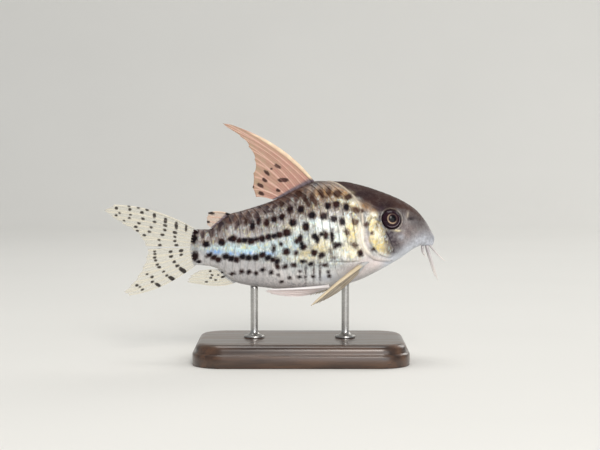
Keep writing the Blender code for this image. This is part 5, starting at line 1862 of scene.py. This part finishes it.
@dataclass
class Stand:
    """A wooden base with a moulded edge, and two turned steel rods up to the belly."""

    build: Build
    wood: WoodFinish
    steel: SteelFinish
    size: tuple[float, float, float] = (48 * MM, 30 * MM, 5 * MM)
    middle: float = 6 * MM
    corner: float = 7 * MM
    corner_steps: int = 24
    edge_profile: tuple[tuple[float, float], ...] = (
        (0.4, 0.0), (0.1, 0.05), (0.0, 0.25), (0.0, 2.55), (0.12, 2.78), (0.5, 2.93), (0.58, 3.1),
        (0.62, 3.5), (0.72, 4.0), (0.95, 4.42), (1.3, 4.72), (1.75, 4.92), (2.3, 5.0), (5.0, 5.0),
    )
    rod_radius: float = 0.85 * MM
    rod_sides: int = 48
    rod_steps: int = 12
    rod_sink: float = 0.25 * MM
    rod_behind: tuple[tuple[str, float], ...] = (
        ("stand_rod_front", 20.0 * MM),
        ("stand_rod_rear", 40.5 * MM),
    )
    foot_profile: tuple[tuple[float, float], ...] = (
        (2.25, 0.0), (2.3, 0.12), (2.3, 0.42), (2.15, 0.56), (1.7, 0.66), (1.45, 0.78), (1.3, 0.9),
        (1.05, 1.05), (0.9, 1.35), (0.85, 1.8),
    )

    def build_pieces(self) -> None:
        """Makes the base and the rods."""
        self.base()
        steel = self.steel.material()
        for node, behind in self.rod_behind:
            self.rod(node, behind, steel)

    def base(self) -> None:
        """A rounded oblong carried up the edge profile and drawn in by its inset.

        Each corner is a quarter circle: x = half length - corner + (corner - inset) cos, and y
        the same with the half width and the sine. Straights join the corners.
        """
        steps = np.linspace(0, 1, self.corner_steps)
        corners = [(1, 1), (-1, 1), (-1, -1), (1, -1)]
        inset = np.array([p[0] for p in self.edge_profile])[:, None] * MM
        height = np.array([p[1] for p in self.edge_profile])[:, None] * MM
        rings = []
        for number, (sign_x, sign_y) in enumerate(corners):
            angle = (number + steps)[None] * math.pi / 2
            radius = self.corner - inset
            x = sign_x * (self.size[0] / 2 - self.corner) + radius * np.cos(angle)
            y = sign_y * (self.size[1] / 2 - self.corner) + radius * np.sin(angle)
            rings.append(np.stack([x + self.middle, y, height + 0 * angle], -1))
        surface = Surface.tube(np.concatenate(rings, 1))
        surface.piece("base_wood", self.wood.material(), "stand_base", "stand_base")

    def rod(self, node: str, behind: float, steel: bpy.types.Material) -> None:
        """A circle carried up a turned profile, its top cut to the belly's slope.

        Args:
            node: The solid that it replaces.
            behind: Its distance behind the snout.
            steel: Its material.
        """
        x = self.build.place[0] - behind
        angle = np.linspace(0, 2 * np.pi, self.rod_sides, endpoint=False)
        circle = np.stack([np.cos(angle), np.sin(angle), 0 * angle], -1)
        low = self.size[2]
        rings = [
            circle * radius * MM + np.array([x, 0, low + height * MM])
            for radius, height in self.foot_profile
        ]
        top = circle * self.rod_radius + np.array([x, 0, 0])
        keel = self.belly(behind - circle[:, 0] * self.rod_radius)
        top[:, 2] = self.build.axis_height + keel + self.rod_sink
        for share in np.linspace(0.1, 1, self.rod_steps):
            rings.append(rings[len(self.foot_profile) - 1] * (1 - share) + top * share)
        surface = Surface.tube(np.array(rings))
        surface.piece(f"steel_{node[6:]}", steel, "stand_rod", node)

    def belly(self, behind: Array) -> Array:
        """Height of the belly's keel above the axis."""
        return self.build.outline(behind)[1]


class Lamp(NamedTuple):
    """A square area light: its name, place, size in metres, power in watts and colour."""

    name: str
    place: tuple[float, float, float]
    size: float
    power: float
    colour: Colour


@dataclass
class Studio:
    """A pale floor that curves up behind, soft lights and the camera."""

    build: Build
    sight: Sight
    finish: FloorFinish
    front: float = -0.9
    depth: float = 0.45
    radius: float = 0.25
    wall_height: float = 1.4
    half_width: float = 1.6
    curve_steps: int = 24
    surround: Colour = (0.90, 0.93, 0.96)
    surround_strength: float = 0.36
    clip: tuple[float, float] = (0.01, 20.0)
    lamps: tuple[Lamp, ...] = (
        Lamp("key", (0.12, -0.60, 0.40), 0.22, 2.5, (1.0, 0.96, 0.90)),
        Lamp("fill", (0.22, -0.62, 0.05), 0.50, 1.7, (0.95, 0.97, 1.0)),
        Lamp("top", (0.0, 0.10, 0.65), 0.35, 1.6, (1.0, 0.99, 0.96)),
        Lamp("rim", (0.45, 0.45, 0.35), 0.30, 0.9, (1.0, 0.98, 0.94)),
    )

    def floor(self) -> None:
        """A level floor, a quarter circle and an upright wall, as one profile drawn sideways."""
        turn = np.linspace(0, math.pi / 2, self.curve_steps)
        radius, depth = self.radius, self.depth
        profile = np.concatenate(
            [
                [(self.front, 0.0)],
                np.stack([depth + radius * np.sin(turn), radius * (1 - np.cos(turn))], -1),
                [(depth + radius, self.wall_height)],
            ]
        )
        across = np.array([-self.half_width, self.half_width])
        count = len(profile)
        points = np.concatenate([np.column_stack([np.full(count, x), profile]) for x in across])
        index = np.arange(count - 1)
        quads = np.stack([index, index + count, index + count + 1, index + 1], -1)
        mesh = bpy.data.meshes.new("floor")
        mesh.from_pydata(points.tolist(), [], quads.tolist())
        mesh.shade_smooth()
        mesh.materials.append(self.finish.material())
        made = bpy.data.objects.new("floor", mesh)
        bpy.context.scene.collection.objects.link(made)

    def light(self, given: Lamp) -> None:
        """Sets up an area light that looks at the fish."""
        lamp = bpy.data.lights.new(given.name, "AREA")
        lamp.size, lamp.energy, lamp.color = given.size, given.power, given.colour
        made = bpy.data.objects.new(given.name, lamp)
        aim = Vector((self.build.place[0] - self.sight.aim_behind, 0, self.build.axis_height))
        made.location = given.place
        made.rotation_euler = (aim - Vector(given.place)).to_track_quat("-Z", "Y").to_euler()
        bpy.context.scene.collection.objects.link(made)

    def lights(self) -> None:
        """A key above the camera, a low fill, one from above, a rim behind and a pale surround."""
        for lamp in self.lamps:
            self.light(lamp)
        world = bpy.data.worlds.new("surround")
        bpy.context.scene.world = world
        world.use_nodes = True
        back = world.node_tree.nodes["Background"]
        back.inputs["Color"].default_value = rgba(self.surround)
        back.inputs["Strength"].default_value = self.surround_strength

    def camera(self) -> None:
        """A camera square to the fish's side, raised a little."""
        sight = self.sight
        lens = bpy.data.cameras.new("camera")
        lens.lens, lens.sensor_width = sight.lens, sight.sensor
        lens.clip_start, lens.clip_end = self.clip
        height = self.build.axis_height + sight.aim_height
        aim = Vector((self.build.place[0] - sight.aim_behind, 0, height))
        back = Vector((0, -math.cos(sight.elevation), math.sin(sight.elevation)))
        made = bpy.data.objects.new("camera", lens)
        made.location = aim + back * sight.distance
        made.rotation_euler = (-back).to_track_quat("-Z", "Y").to_euler()
        bpy.context.scene.collection.objects.link(made)
        bpy.context.scene.camera = made

    def build_stage(self) -> None:
        """Sets up floor, lights, camera and the colours' transform."""
        self.floor()
        self.lights()
        self.camera()
        bpy.context.scene.view_settings.view_transform = "Standard"


def main() -> None:
    """Builds the stage, then the fish from its skin outwards, then its stand."""
    logging.basicConfig(level=logging.INFO, format="%(name)s: %(message)s")
    build = Build()
    effects = Effects()
    sight = Sight()
    Studio(build, sight, FloorFinish()).build_stage()
    Skin(build, sight, Markings(), SkinFinish(effects)).build_piece()
    Eyes(build, EyeFinish()).build_pieces()
    Barbels(build, BarbelFinish(effects)).build_pieces()
    Fins(build, effects).build_pieces()
    Stand(build, WoodFinish(), SteelFinish()).build_pieces()


if __name__ == "__main__":
    main()
